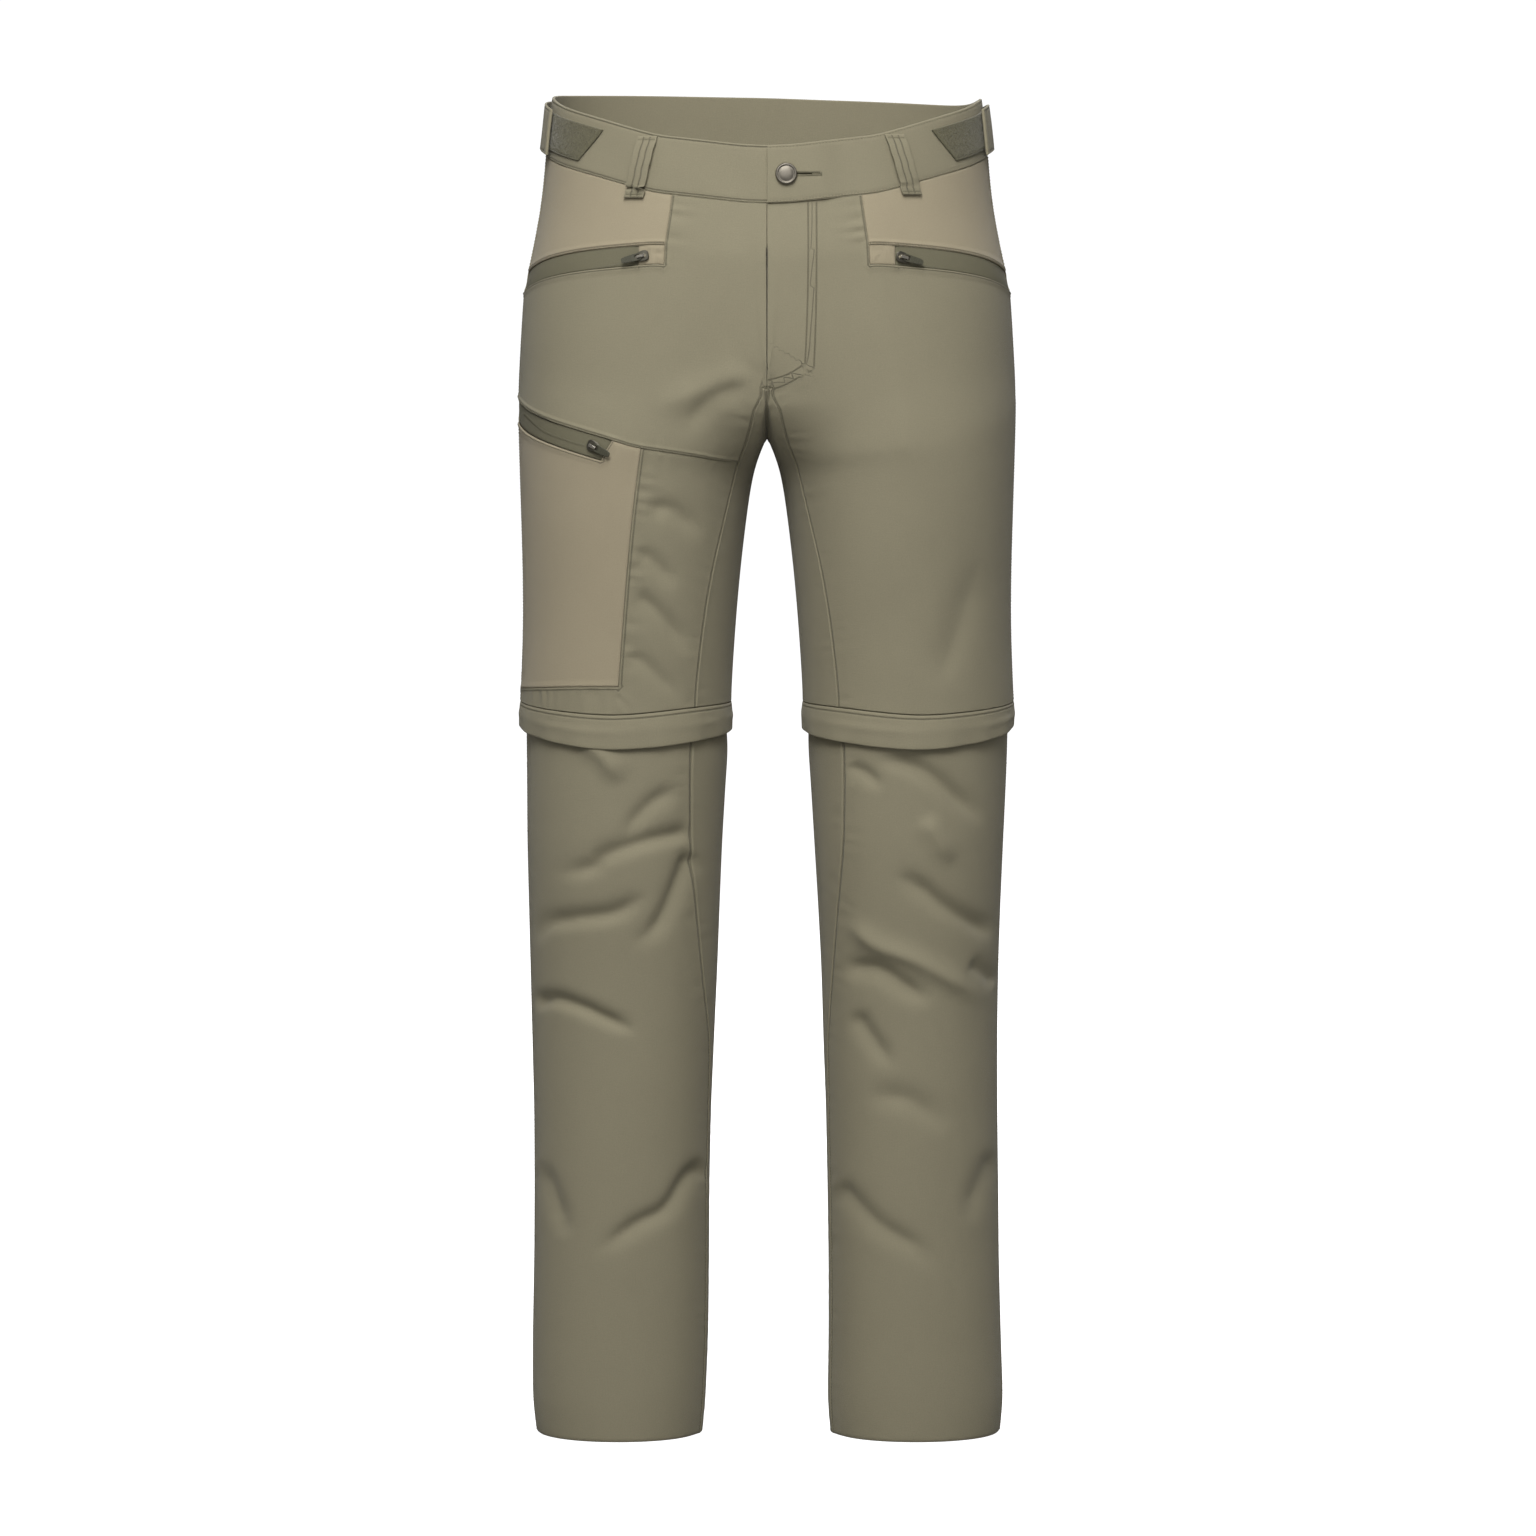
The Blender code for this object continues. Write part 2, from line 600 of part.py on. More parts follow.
def outward(loop_points):
    """Level outward directions along a closed loop of points."""
    ahead = np.roll(loop_points, -1, axis=0) - np.roll(loop_points, 1, axis=0)
    across = np.stack([ahead[:, 1], -ahead[:, 0], np.zeros(len(ahead))], axis=1)
    across /= np.linalg.norm(across, axis=1, keepdims=True)
    away = np.sign((across * (loop_points - loop_points.mean(axis=0))).sum(axis=1).sum())
    return across * away


def band_grid(base, out, picks, lifts, rows=(0.0, 0.5, 1.0)):
    """Outer and inner points of a stretch of the waistband, for the loop places in picks."""
    top, bottom = [], []
    for share in rows:
        narrow = 1 + (BAND_TAPER - 1) * share
        rise = Vector((0, 0, SEAM_GAP + BAND_HEIGHT * share))
        line = [Vector(base[i] * (narrow, narrow, 1)) + rise for i in picks]
        top.append([p + Vector(out[i]) * lift for p, i, lift in zip(line, picks, lifts)])
        bottom.append([p + Vector(out[i]) * (lift - BAND) for p, i, lift in zip(line, picks, lifts)])
    return top, bottom


def turned_to_front(base):
    """The loop's points from the centre front, by way of the wearer's left, back to the centre front."""
    start = int(np.argmin(base[:, 1] + np.abs(base[:, 0]) * 4))
    base = np.roll(base, -start, axis=0)
    return base if base[1][0] > 0 else np.roll(base[::-1], 1, axis=0)


def pulled(points, from_end, gap):
    """points with the first or last one moved along the line into it."""
    i, j = (0, 1) if from_end == "start" else (-1, -2)
    step = points[j] - points[i]
    points[i] = points[i] + step.normalized() * gap


def make_waistband(points, faces, finish):
    base = turned_to_front(points[border(faces, points, True)[0]])
    out = outward(base)
    count = len(base)
    left_side = int(np.argmax(base[:, 0]))
    right_side = int(np.argmin(base[:, 0]))
    under = int(np.argmin(np.abs(base[: count // 4, 0] - UNDERLAP)))

    def over(x):
        return BAND_LIFT + OVERLAP_LIFT * (1 - float(smoothstep((x - UNDERLAP - 3 * MM) / OVERLAP_FADE)))

    spans = {
        "waistband_front_left": (list(range(0, left_side + 1)), over),
        "waistband_back": (list(range(left_side, right_side + 1)), None),
        "waistband_front_right": ([*range(right_side, count), *range(0, under + 1)], None),
    }
    made = {}
    for name, (picks, lift) in spans.items():
        lifts = [lift(base[i][0]) if lift else BAND_LIFT for i in picks]
        top, bottom = band_grid(base, out, picks, lifts)
        for row in (*top, *bottom):
            if name != "waistband_front_left":
                pulled(row, "start", SEAM_GAP / 2)
            if name != "waistband_front_right":
                pulled(row, "end", SEAM_GAP / 2)
        made[name] = slab(name, top, bottom, finish)
    return made, base


# Degrees. A ray along an edge or down a seam would slip between the faces
RAY_NUDGE = 0.12


class Skin:
    """The outer surface that lies furthest out, for what is placed on the garment."""

    def __init__(self, things):
        points, faces = [], []
        for thing in things:
            start = len(points)
            points += [v.co for v in thing.data.vertices]
            faces += [[start + v for v in face.vertices] for face in thing.data.polygons]
        self.tree = BVHTree.FromPolygons(points, faces)

    def round_waist(self, turn, z):
        """The place at height z that faces turn degrees from the front towards the wearer's left."""
        nudged = math.radians(turn + RAY_NUDGE)
        way = Vector((math.sin(nudged), -math.cos(nudged), 0))
        place, normal, _, _ = self.tree.ray_cast(way + Vector((0, 0, z)), -way)
        return place, normal

    def from_front(self, x, z):
        place, normal, _, _ = self.tree.ray_cast(Vector((x, -1, z)), Vector((0, 1, 0)))
        return place, normal


def waist_height(base, turn):
    """The waist seam's height at a turn from the front."""
    angles = np.degrees(np.arctan2(base[:, 0], -base[:, 1]))
    order = np.argsort(angles)
    return float(np.interp((turn + 180) % 360 - 180, angles[order], base[order, 2], period=360))


# What is sewn on the waistband

Loop = namedtuple("Loop", "name turn_top turn_foot")
LOOPS = [
    Loop("belt_loop_front_right", -45.2, -48.5),
    Loop("belt_loop_front_left", 47.7, 51.9),
    Loop("belt_loop_back_right", -138.0, -138.0),
    Loop("belt_loop_back_left", 138.0, 138.0),
    Loop("belt_loop_back_centre", 180.0, 180.0),
]
LOOP_ROWS, LOOP_COLUMNS = 9, 2


def make_belt_loop(loop, skin, base, finish):
    """A strap over the band, held at both ends and bowed out between them so that a belt can pass."""
    top, bottom = [], []
    for i in range(LOOP_ROWS):
        down = i / (LOOP_ROWS - 1)
        turn = loop.turn_top + (loop.turn_foot - loop.turn_top) * down
        seam = waist_height(base, turn)
        z = seam + BAND_HEIGHT - 2.5 * MM - (BAND_HEIGHT - 2.5 * MM + LOOP_BELOW_BAND) * down
        middle, normal = skin.round_waist(turn, z)
        level = (normal * Vector((1, 1, 0))).normalized()
        across = Vector((-level.y, level.x, 0))
        over_band = BAND_LIFT if z < seam else 0.0
        rise = LOOP_REST + over_band + LOOP_BOW * math.sin(math.pi * down) ** 0.8
        places = [middle + across * LOOP_WIDTH * (j / (LOOP_COLUMNS - 1) - 0.5) for j in range(LOOP_COLUMNS)]
        top.append([p + level * (rise + LOOP_THICK) for p in places])
        bottom.append([p + level * rise for p in places])
    return slab(loop.name, top, bottom, finish)


Patch = namedtuple("Patch", "share turn_front turn_rear")
PATCH_ROWS = [
    Patch(0.18, 66.5, 85.0),
    Patch(0.4, 64.0, 85.0),
    Patch(0.6, 61.7, 85.0),
    Patch(0.82, 59.4, 85.0),
]
TAB_FRONT, TAB_BACK, TAB_EDGE = 79.0, 134.0, 90.0
TAB_STAND_OFF = 3.6 * MM
TAB_SHARES = (0.1, 0.35, 0.65, 0.9)


def turns_between(base, side, first, last):
    """Both ends and, between them, the turns of the waistband's own points, so that facets lie on facets."""
    turns = side * np.degrees(np.arctan2(base[:, 0], -base[:, 1]))
    own = sorted(t for t in turns if first + 1.2 < t < last - 1.2)
    return [first, *own, last]


def on_band(skin, base, side, turn, share, rise):
    """A place on the waistband: share of its height, and rise out from its surface."""
    z = waist_height(base, side * turn) + SEAM_GAP + BAND_HEIGHT * share
    place, normal = skin.round_waist(side * turn, z)
    return place + normal * rise


def tab_rise(turn):
    """The tab's free end stands off the band, clear of the patch, and its back end lies on it."""
    return REST_GAP + TAB_STAND_OFF * (1 - float(smoothstep((turn - TAB_FRONT) / (TAB_BACK - TAB_FRONT))))


def make_adjuster(tag, side, skin, base, finishes):
    """The loop-pile patch on the band's front, and the tab that comes round from the back to it."""
    inner = turns_between(base, side, PATCH_ROWS[0].turn_front, PATCH_ROWS[0].turn_rear)[1:]
    grids = []
    for rise in (PATCH_REST + PATCH_THICK, PATCH_REST):
        rows = []
        for row in PATCH_ROWS:
            turns = [row.turn_front + (inner[0] - row.turn_front) * i / 3 for i in range(3)]
            rows.append([on_band(skin, base, side, t, row.share, rise) for t in [*turns, *inner]])
        grids.append(rows)
    slab(f"adjuster_patch_{tag}", *grids, finishes["hook"])
    turns = turns_between(base, side, TAB_FRONT, TAB_BACK)
    grids = []
    for extra in (TAB_THICK, 0.0):
        rows = []
        for share in TAB_SHARES:
            rows.append([on_band(skin, base, side, t, share, tab_rise(t) + extra) for t in turns])
        grids.append(rows)
    slab(f"adjuster_tab_{tag}", *grids, finishes["cloth"])


def make_button(band_left, skin, finish):
    """The tack button, and the keyhole in the left band that its shank comes through."""
    place, normal = skin.from_front(BUTTON_X, BUTTON_Z)
    under = place - normal * (OVERLAP_LIFT)
    turn = normal.to_track_quat("Z", "X").to_matrix().to_4x4()
    frame = Matrix.Translation(under) @ turn
    foot = REST_GAP
    profile = [
        (0, foot),
        (SHANK_R, foot),
        (SHANK_R, SHANK_RISE),
        (BUTTON_R - 1.2 * MM, SHANK_RISE),
        (BUTTON_R, SHANK_RISE + 0.6 * MM),
        (BUTTON_R, SHANK_RISE + 1.5 * MM),
        (BUTTON_R - 0.9 * MM, SHANK_RISE + BUTTON_THICK),
        (BUTTON_R - 2.6 * MM, SHANK_RISE + BUTTON_THICK - 0.3 * MM),
        (0, SHANK_RISE + BUTTON_THICK - 0.3 * MM),
    ]
    shape = bmesh.new()
    rim = [shape.verts.new((r, 0, h)) for r, h in profile]
    edges = [shape.edges.new(pair) for pair in zip(rim, rim[1:])]
    bmesh.ops.spin(shape, geom=rim + edges, axis=(0, 0, 1), cent=(0, 0, 0), angle=2 * math.pi, steps=18)
    bmesh.ops.remove_doubles(shape, verts=shape.verts, dist=0.01 * MM)
    bmesh.ops.recalc_face_normals(shape, faces=shape.faces)
    shape.transform(frame)
    mesh = bpy.data.meshes.new("waist_button")
    shape.to_mesh(mesh)
    shape.free()
    add_object("waist_button", mesh, finish)

    cut = bmesh.new()
    bmesh.ops.create_cone(
        cut, cap_ends=True, segments=16, radius1=HOLE_R, radius2=HOLE_R, depth=20 * MM, matrix=frame
    )
    eyelet = bpy.data.meshes.new("eyelet_cutter")
    cut.to_mesh(eyelet)
    cut.free()
    slit_length = SLIT_END_X - BUTTON_X
    cut = bmesh.new()
    far_place, far_normal = skin.from_front(SLIT_END_X, BUTTON_Z)
    along = (far_place - place).normalized()
    middle = place + along * slit_length / 2
    axes = Matrix((along, normal.cross(along), normal)).transposed().to_4x4()
    size = Matrix.Diagonal((slit_length, SLIT_WIDTH, 24 * MM, 1))
    bmesh.ops.create_cube(cut, size=1, matrix=Matrix.Translation(middle) @ axes @ size)
    slit = bpy.data.meshes.new("slit_cutter")
    cut.to_mesh(slit)
    cut.free()
    for mesh in (eyelet, slit):
        cutter = bpy.data.objects.new(mesh.name, mesh)
        bpy.context.scene.collection.objects.link(cutter)
        cutter.hide_render = True
        cutter.display_type = "WIRE"
        hole = band_left.modifiers.new(mesh.name, "BOOLEAN")
        hole.object = cutter
        hole.operation = "DIFFERENCE"


# Sliders and pulls

Zip = namedtuple("Zip", "name x z heading")
ZIPS = [
    Zip("hand_{}_right", -97.5, -91.5, 192.0),
    Zip("hand_{}_left", 106.0, -92.5, -12.0),
    Zip("cargo_{}", -135.0, -240.0, -22.0),
]


def joined(name, parts, frame, finish):
    """Boxes given as (middle, size), or finished pieces, joined into one solid by bmesh and a Boolean."""
    first = None
    for number, (middle, size) in enumerate(parts):
        shape = bmesh.new()
        scale = Matrix.Diagonal((*size, 1))
        bmesh.ops.create_cube(shape, size=1, matrix=Matrix.Translation(middle) @ scale)
        if number == 0:
            bmesh.ops.bevel(shape, geom=shape.edges[:], offset=min(size) * 0.2, segments=1, affect="EDGES")
        shape.transform(frame)
        mesh = bpy.data.meshes.new(f"{name}_{number}")
        shape.to_mesh(mesh)
        shape.free()
        if first is None:
            first = add_object(name, mesh, finish)
            continue
        helper = bpy.data.objects.new(mesh.name, mesh)
        bpy.context.scene.collection.objects.link(helper)
        helper.hide_render = True
        helper.display_type = "WIRE"
        union = first.modifiers.new(mesh.name, "BOOLEAN")
        union.object = helper
        union.operation = "UNION"
    return first


def make_pull(name, frame, finish):
    """A flat pull, with a window that leaves a crossbar at its end. The bar is the axis it turns on."""
    window_end, reach, half, slot = 5.2 * MM, PULL[0], PULL[1] / 2, PULL_SLOT / 2
    bar = PULL[2] / 2
    xs = (-bar, bar, window_end, (window_end + reach) / 2, reach)
    halves = (half * 0.92, half * 0.92, half, half * 0.94, half * 0.8)
    shape = bmesh.new()
    layers = []
    for height in (bar, -bar):
        rows = []
        for x, wide in zip(xs, halves):
            rows.append([shape.verts.new((x, y, height)) for y in (-wide, -slot, slot, wide)])
        layers.append(rows)
    cells = [(i, j) for i in range(len(xs) - 1) for j in range(3) if (i, j) != (1, 1)]
    for i, j in cells:
        for rows in layers:
            shape.faces.new((rows[i][j], rows[i + 1][j], rows[i + 1][j + 1], rows[i][j + 1]))
    for edge in [e for e in shape.edges if len(e.link_faces) == 1]:
        if edge.verts[0].co.z > 0:
            a, b = edge.verts
            below = {}
            for rows_top, rows_foot in zip(*layers):
                below.update(zip(rows_top, rows_foot))
            shape.faces.new((a, b, below[b], below[a]))
    bmesh.ops.recalc_face_normals(shape, faces=shape.faces)
    mesh = bpy.data.meshes.new(name)
    shape.to_mesh(mesh)
    shape.free()
    add_object(name, mesh, finish, smooth=False).matrix_world = frame


def make_zip_ends(zip_row, skin, finishes):
    """A slider with its bridge, and the pull whose crossbar turns under the bridge."""
    place, normal = skin.from_front(zip_row.x * MM, zip_row.z * MM)
    heading = math.radians(zip_row.heading)
    level = Vector((math.cos(heading), 0, math.sin(heading)))
    along = (level - normal * level.dot(normal)).normalized()
    frame = Matrix((along, normal.cross(along), normal)).transposed().to_4x4()
    frame = Matrix.Translation(place) @ frame
    length, width, height = SLIDER
    foot = REST_GAP
    top = foot + height
    pillar = BRIDGE_GAP + BRIDGE[2]
    pillar_size = (1.0 * MM, BRIDGE[1], pillar + 0.4 * MM)
    pillar_x = BRIDGE[0] / 2 - 0.5 * MM
    slider = [
        (Vector((0, 0, foot + height / 2)), (length, width, height)),
        (Vector((-pillar_x, 0, top + pillar / 2 - 0.2 * MM)), pillar_size),
        (Vector((pillar_x, 0, top + pillar / 2 - 0.2 * MM)), pillar_size),
        (Vector((0, 0, top + BRIDGE_GAP + BRIDGE[2] / 2)), BRIDGE),
    ]
    joined(zip_row.name.format("slider"), slider, frame, finishes["slider"])
    pivot = Matrix.Translation((0, 0, top + BRIDGE_GAP / 2))
    make_pull(zip_row.name.format("pull"), frame @ pivot, finishes["pull"])


# Knee cuffs, leg zips and lower legs


def tube_from_loop(name, base, side, profile, thick, finish):
    """A ring of cloth hung from a loop. profile rows are (share of the drop, drop, outward)."""
    out = outward(base)
    dip = CUFF_DIP * np.clip(-out[:, 1], 0, 1) + CUFF_INNER_DIP * np.clip(-out[:, 0] * side, 0, 1)
    top, bottom = [], []
    for share, drop, away in profile:
        fall = drop + dip * share
        line = base + out * away - np.stack([0 * fall, 0 * fall, fall], axis=1)
        top.append([Vector(p) for p in line])
        bottom.append([Vector(p) for p in line - out * thick])
    return slab(name, top, bottom, finish, closed=True)


def make_knee(tag, side, points, faces, finishes):
    loop = next(l for l in border(faces, points, False) if np.mean(points[l][:, 0]) * side > 0)
    base = points[loop]
    cuff = [(0, SEAM_GAP, 0), (0.4, CUFF_HEIGHT * 0.4, CUFF_FLARE), (1, CUFF_HEIGHT, CUFF_FLARE * 0.6)]
    tube_from_loop(f"knee_cuff_{tag}", base, side, cuff, CUFF, finishes["cloth"])
    inside = -CLOTH - 2 * REST_GAP
    ring = [(0, -LEG_ZIP_TUCK, inside), (0, LEG_ZIP_HEIGHT - LEG_ZIP_TUCK, inside)]
    tube_from_loop(f"leg_zip_{tag}", base, side, ring, LEG_ZIP_THICK, finishes["tape"])


def hem_thickness(p):
    """The turned-up hem is two layers of cloth."""
    return CLOTH + 0.7 * MM * smoothstep((-0.998 - p[2]) / 0.006)


def make_shin(tag, side, finish):
    cage, cells, places = shin_cage(tag, side)
    points, faces, cell_of = smooth_form(cage, cells)
    points, normals = folded(points, faces)
    parts = {f"front_shin_{tag}": [], f"back_shin_{tag}": []}
    for face, cell in zip(faces, cell_of):
        in_front = SHIN_SEAM <= places[cell][2] < SHIN_SIDE
        parts[f"{'front' if in_front else 'back'}_shin_{tag}"].append(face)
    for name, own in parts.items():
        wall(name, points, normals, own, finish, thick=hem_thickness)


def make_fly_shield(skin, finish):
    """The guard behind the fly: it closes the slit between the two fronts."""
    xs = [v * MM for v in (-9, 0, 10, 20, 30)]
    zs = [v * MM for v in (-58, -80, -105, -130, -155, -175, -190)]
    grids = []
    for depth in (CLOTH + REST_GAP + 0.2 * MM, CLOTH * 1.6 + REST_GAP + 0.6 * MM):
        rows = []
        for z in zs:
            places = []
            for x in xs:
                place, normal = skin.from_front(x, z)
                places.append(place - normal * depth)
            rows.append(places)
        grids.append(rows)
    slab("fly_shield", *grids, finish)


def main():
    clear_scene()
    finishes = {
        "cloth": material("olive_cloth", CLOTH_COLOUR, 0.8),
        "stretch": material("stretch_cloth", STRETCH_COLOUR, 0.85),
        "tape": material("zip_tape", TAPE_COLOUR, 0.7),
        "hook": material("loop_pile", HOOK_COLOUR, 0.95),
        "metal": material("button_metal", METAL_COLOUR, 0.4, 0.9),
        "slider": material("slider_metal", SLIDER_COLOUR, 0.4, 0.6),
        "pull": material("pull_plastic", PULL_COLOUR, 0.55),
    }
    points, faces = make_body(finishes)
    form = bpy.data.objects.new("form", mesh_of("form", points, faces))
    bands, base = make_waistband(points, faces, finishes["cloth"])
    make_fly_shield(Skin([form]), finishes["cloth"])
    skin = Skin([form, *bands.values()])
    bpy.data.objects.remove(form)
    for loop in LOOPS:
        make_belt_loop(loop, skin, base, finishes["cloth"])
    for tag, side in (("left", 1), ("right", -1)):
        make_adjuster(tag, side, skin, base, finishes)
        make_knee(tag, side, points, faces, finishes)
        make_shin(tag, side, finishes["cloth"])
    make_button(bands["waistband_front_left"], skin, finishes["metal"])
    for zip_row in ZIPS:
        make_zip_ends(zip_row, skin, finishes)


main()
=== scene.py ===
"""Looks of the zip-off hiking trousers, filled out as if worn, with no wearer, round their CAD frame.

Metres, +Z up. The front faces -Y and the wearer's right leg is at -X. Tables of the form are in millimetres,
on the side where x is positive. Creases and seams are placed by pixels of the picture, 1536 across.

Every panel is a thin shell on the form of its solid. The form is the same cage as the solids have, divided
more finely, with its creases, seams and puckers pressed in.
"""

import json
import math
from collections import namedtuple

import bpy
import numpy as np
from mathutils import Matrix, Vector
from mathutils.bvhtree import BVHTree

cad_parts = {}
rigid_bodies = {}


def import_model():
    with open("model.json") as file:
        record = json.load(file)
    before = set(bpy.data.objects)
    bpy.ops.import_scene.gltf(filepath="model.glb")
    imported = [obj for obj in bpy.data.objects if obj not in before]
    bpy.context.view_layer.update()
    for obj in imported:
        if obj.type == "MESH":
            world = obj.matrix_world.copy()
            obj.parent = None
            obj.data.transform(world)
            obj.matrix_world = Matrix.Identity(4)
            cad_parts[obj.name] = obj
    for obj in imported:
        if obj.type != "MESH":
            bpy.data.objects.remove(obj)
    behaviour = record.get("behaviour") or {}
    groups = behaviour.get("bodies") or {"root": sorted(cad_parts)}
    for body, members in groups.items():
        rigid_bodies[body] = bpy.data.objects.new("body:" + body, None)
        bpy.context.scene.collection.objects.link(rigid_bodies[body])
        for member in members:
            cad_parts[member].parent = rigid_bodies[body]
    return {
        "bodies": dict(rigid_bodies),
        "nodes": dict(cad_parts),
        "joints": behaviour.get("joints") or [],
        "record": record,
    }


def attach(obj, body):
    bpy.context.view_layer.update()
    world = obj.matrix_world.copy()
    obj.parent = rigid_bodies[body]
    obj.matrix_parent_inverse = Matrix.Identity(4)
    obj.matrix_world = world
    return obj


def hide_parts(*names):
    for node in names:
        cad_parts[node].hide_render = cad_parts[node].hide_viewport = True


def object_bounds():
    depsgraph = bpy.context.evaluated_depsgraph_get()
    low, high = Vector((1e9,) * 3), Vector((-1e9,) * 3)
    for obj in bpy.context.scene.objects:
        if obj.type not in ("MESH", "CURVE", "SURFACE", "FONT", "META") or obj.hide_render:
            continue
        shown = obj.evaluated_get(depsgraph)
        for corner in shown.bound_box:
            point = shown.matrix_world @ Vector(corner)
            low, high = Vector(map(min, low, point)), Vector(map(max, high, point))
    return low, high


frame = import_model()
cad_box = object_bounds()

MM = 0.001

# The picture's camera
PICTURE = 1536
VIEW_FROM = 6.0
VIEW_RISE = math.radians(4)
VIEW_X, VIEW_Z = 0.0008, -0.5
METRES_PER_PIXEL = 0.0008
MIDDLE_X, MIDDLE_Y = 767, 768

# Cloth
SHELL = 0.9 * MM
SEAM_GAP = 0.34 * MM
EDGE_ROUND = 0.45 * MM
BODY_LEVELS, SHIN_LEVELS = 4, 3
WEAVE = "weave"

# A point with no row of stitches near it is this far from one
FAR = 50 * MM
ZIP_RECESS = 0.7 * MM

# Light
AMBIENT = 0.22
LIGHTS = [
    ("key", (-0.3, -2.6, 1.9), (0, 0, -0.25), 1.5, 92),
    ("front", (0.2, -4.4, 0.9), (0, 0, -0.2), 2.2, 22),
    ("rear", (0.5, 3.4, 1.8), (0, 0, -0.4), 2.6, 70),
    ("top", (0.0, -1.0, 1.5), (0, 0.12, 0.0), 0.7, 9),
]

# What each panel is cut from, where it isn't the plain cloth
FINISH_OF = {
    "hip_yoke": "stretch",
    "hand_zip_garage": "stretch",
    "cargo_pocket": "stretch",
    "hand_zip_tape": "tape",
    "cargo_zip_tape": "tape",
}

# The side of a seam that a panel has, in mm: row is its stitches' distance from the seam, rise how far it
# is lifted beside it, over width, and pucker the ripples that it has as far as reach
Side = namedtuple("Side", "row rise width pucker reach")
LAPPED, UNDER = Side(1.4, 0.5, 2.4, 0.25, 5), Side(0, -0.35, 0, 0.35, 5)
PULLED = Side(1.4, 0.4, 2.2, 0.6, 5)
FOLDED = Side(1.5, 0.7, 2.6, 0, 5)
BODY_SEAMS = {
    ("front_thigh", "hip_yoke"): PULLED,
    ("hip_yoke", "front_thigh"): Side(0, -0.3, 0, 0.15, 5),
    ("hip_yoke", "hand_zip_tape"): FOLDED,
    ("hip_yoke", "hand_zip_garage"): FOLDED,
    ("front_thigh", "hand_zip_tape"): FOLDED,
    ("front_thigh", "hand_zip_garage"): FOLDED,
    ("front_thigh", "cargo_zip_tape"): FOLDED,
    ("cargo_pocket", "cargo_zip_tape"): FOLDED,
    ("hand_zip_garage", "front_thigh"): UNDER,
    ("hand_zip_garage", "hip_yoke"): UNDER,
    ("front_thigh", "front_lower_thigh"): Side(1.5, 0.45, 2.4, 0.2, 6),
    ("front_lower_thigh", "front_thigh"): UNDER,
    ("front_thigh", "cargo_pocket"): Side(1.5, 0.45, 2.4, 0.1, 6),
    ("cargo_pocket", "front_thigh"): Side(0, -0.35, 0, 0.1, 5),
    ("front_lower_thigh", "cargo_pocket"): Side(2.2, 0.15, 2.6, 0.7, 4.5),
    ("cargo_pocket", "front_lower_thigh"): Side(0, 0.6, 1.5, 0, 5),
    ("front_thigh", "back_thigh"): Side(1.2, 0.2, 1.8, 0.25, 5),
    ("back_thigh", "front_thigh"): Side(0, 0.45, 1.2, 0.2, 5),
    ("front_lower_thigh", "back_thigh"): Side(1.2, 0.2, 1.8, 0.25, 5),
    ("back_thigh", "front_lower_thigh"): Side(0, 0.45, 1.2, 0.2, 5),
    ("cargo_pocket", "back_thigh"): Side(0, -0.2, 0, 0.1, 5),
    ("back_thigh", "cargo_pocket"): Side(1.4, 0.4, 2, 0.2, 5),
    ("back_thigh", "hip_yoke"): LAPPED,
    ("hip_yoke", "back_thigh"): UNDER,
    ("back_thigh", "back_thigh"): LAPPED,
}
SHIN_SEAMS = {
    ("front_shin", "back_shin"): Side(1.2, 0.2, 1.8, 0.35, 5),
    ("back_shin", "front_shin"): Side(0, 0.45, 1.2, 0.3, 5),
}

# The closed coil of each zip, by its picture points
COILS = {
    "hand_zip_tape_right": ((531, 288), (545.5, 279), (571, 272.5), (601.6, 267.5), (638, 261)),
    "hand_zip_tape_left": ((1003, 288), (989, 279), (963, 272.5), (932, 267.5), (899, 261)),
    "cargo_zip_tape": ((524, 414), (541.8, 430), (559.6, 438), (581, 445), (600, 449)),
}

# Rows of stitches that cross a panel, by their picture points
SEWN = [
    ("front_thigh_left", ((808, 203), (808.3, 260), (807, 320), (805, 364))),
    ("front_thigh_left", ((816.5, 203), (816.7, 260), (815.8, 320), (814, 369))),
    ("front_thigh_left", ((768.5, 380), (779, 377.5), (790.7, 373), (804, 364.5))),
    ("front_thigh_left", ((768.5, 390), (779, 387.5), (790.7, 382), (813, 369.5))),
]

# Columns of the body's cage, counted from the inner leg round the front
SEAM, MID, ZIP_END, SIDE, LAST = 2, 4, 5, 8, 14
BACK = LAST - SIDE
HIP_POWER, LEG_POWER = 2.2, 2.1
BACK_DROP, BACK_TILT, WAIST_HALF = 3.5 * MM, 4.5 * MM, 175 * MM
SEAM_DRAW, SEAM_DRAW_REACH = 0.62, 40 * MM

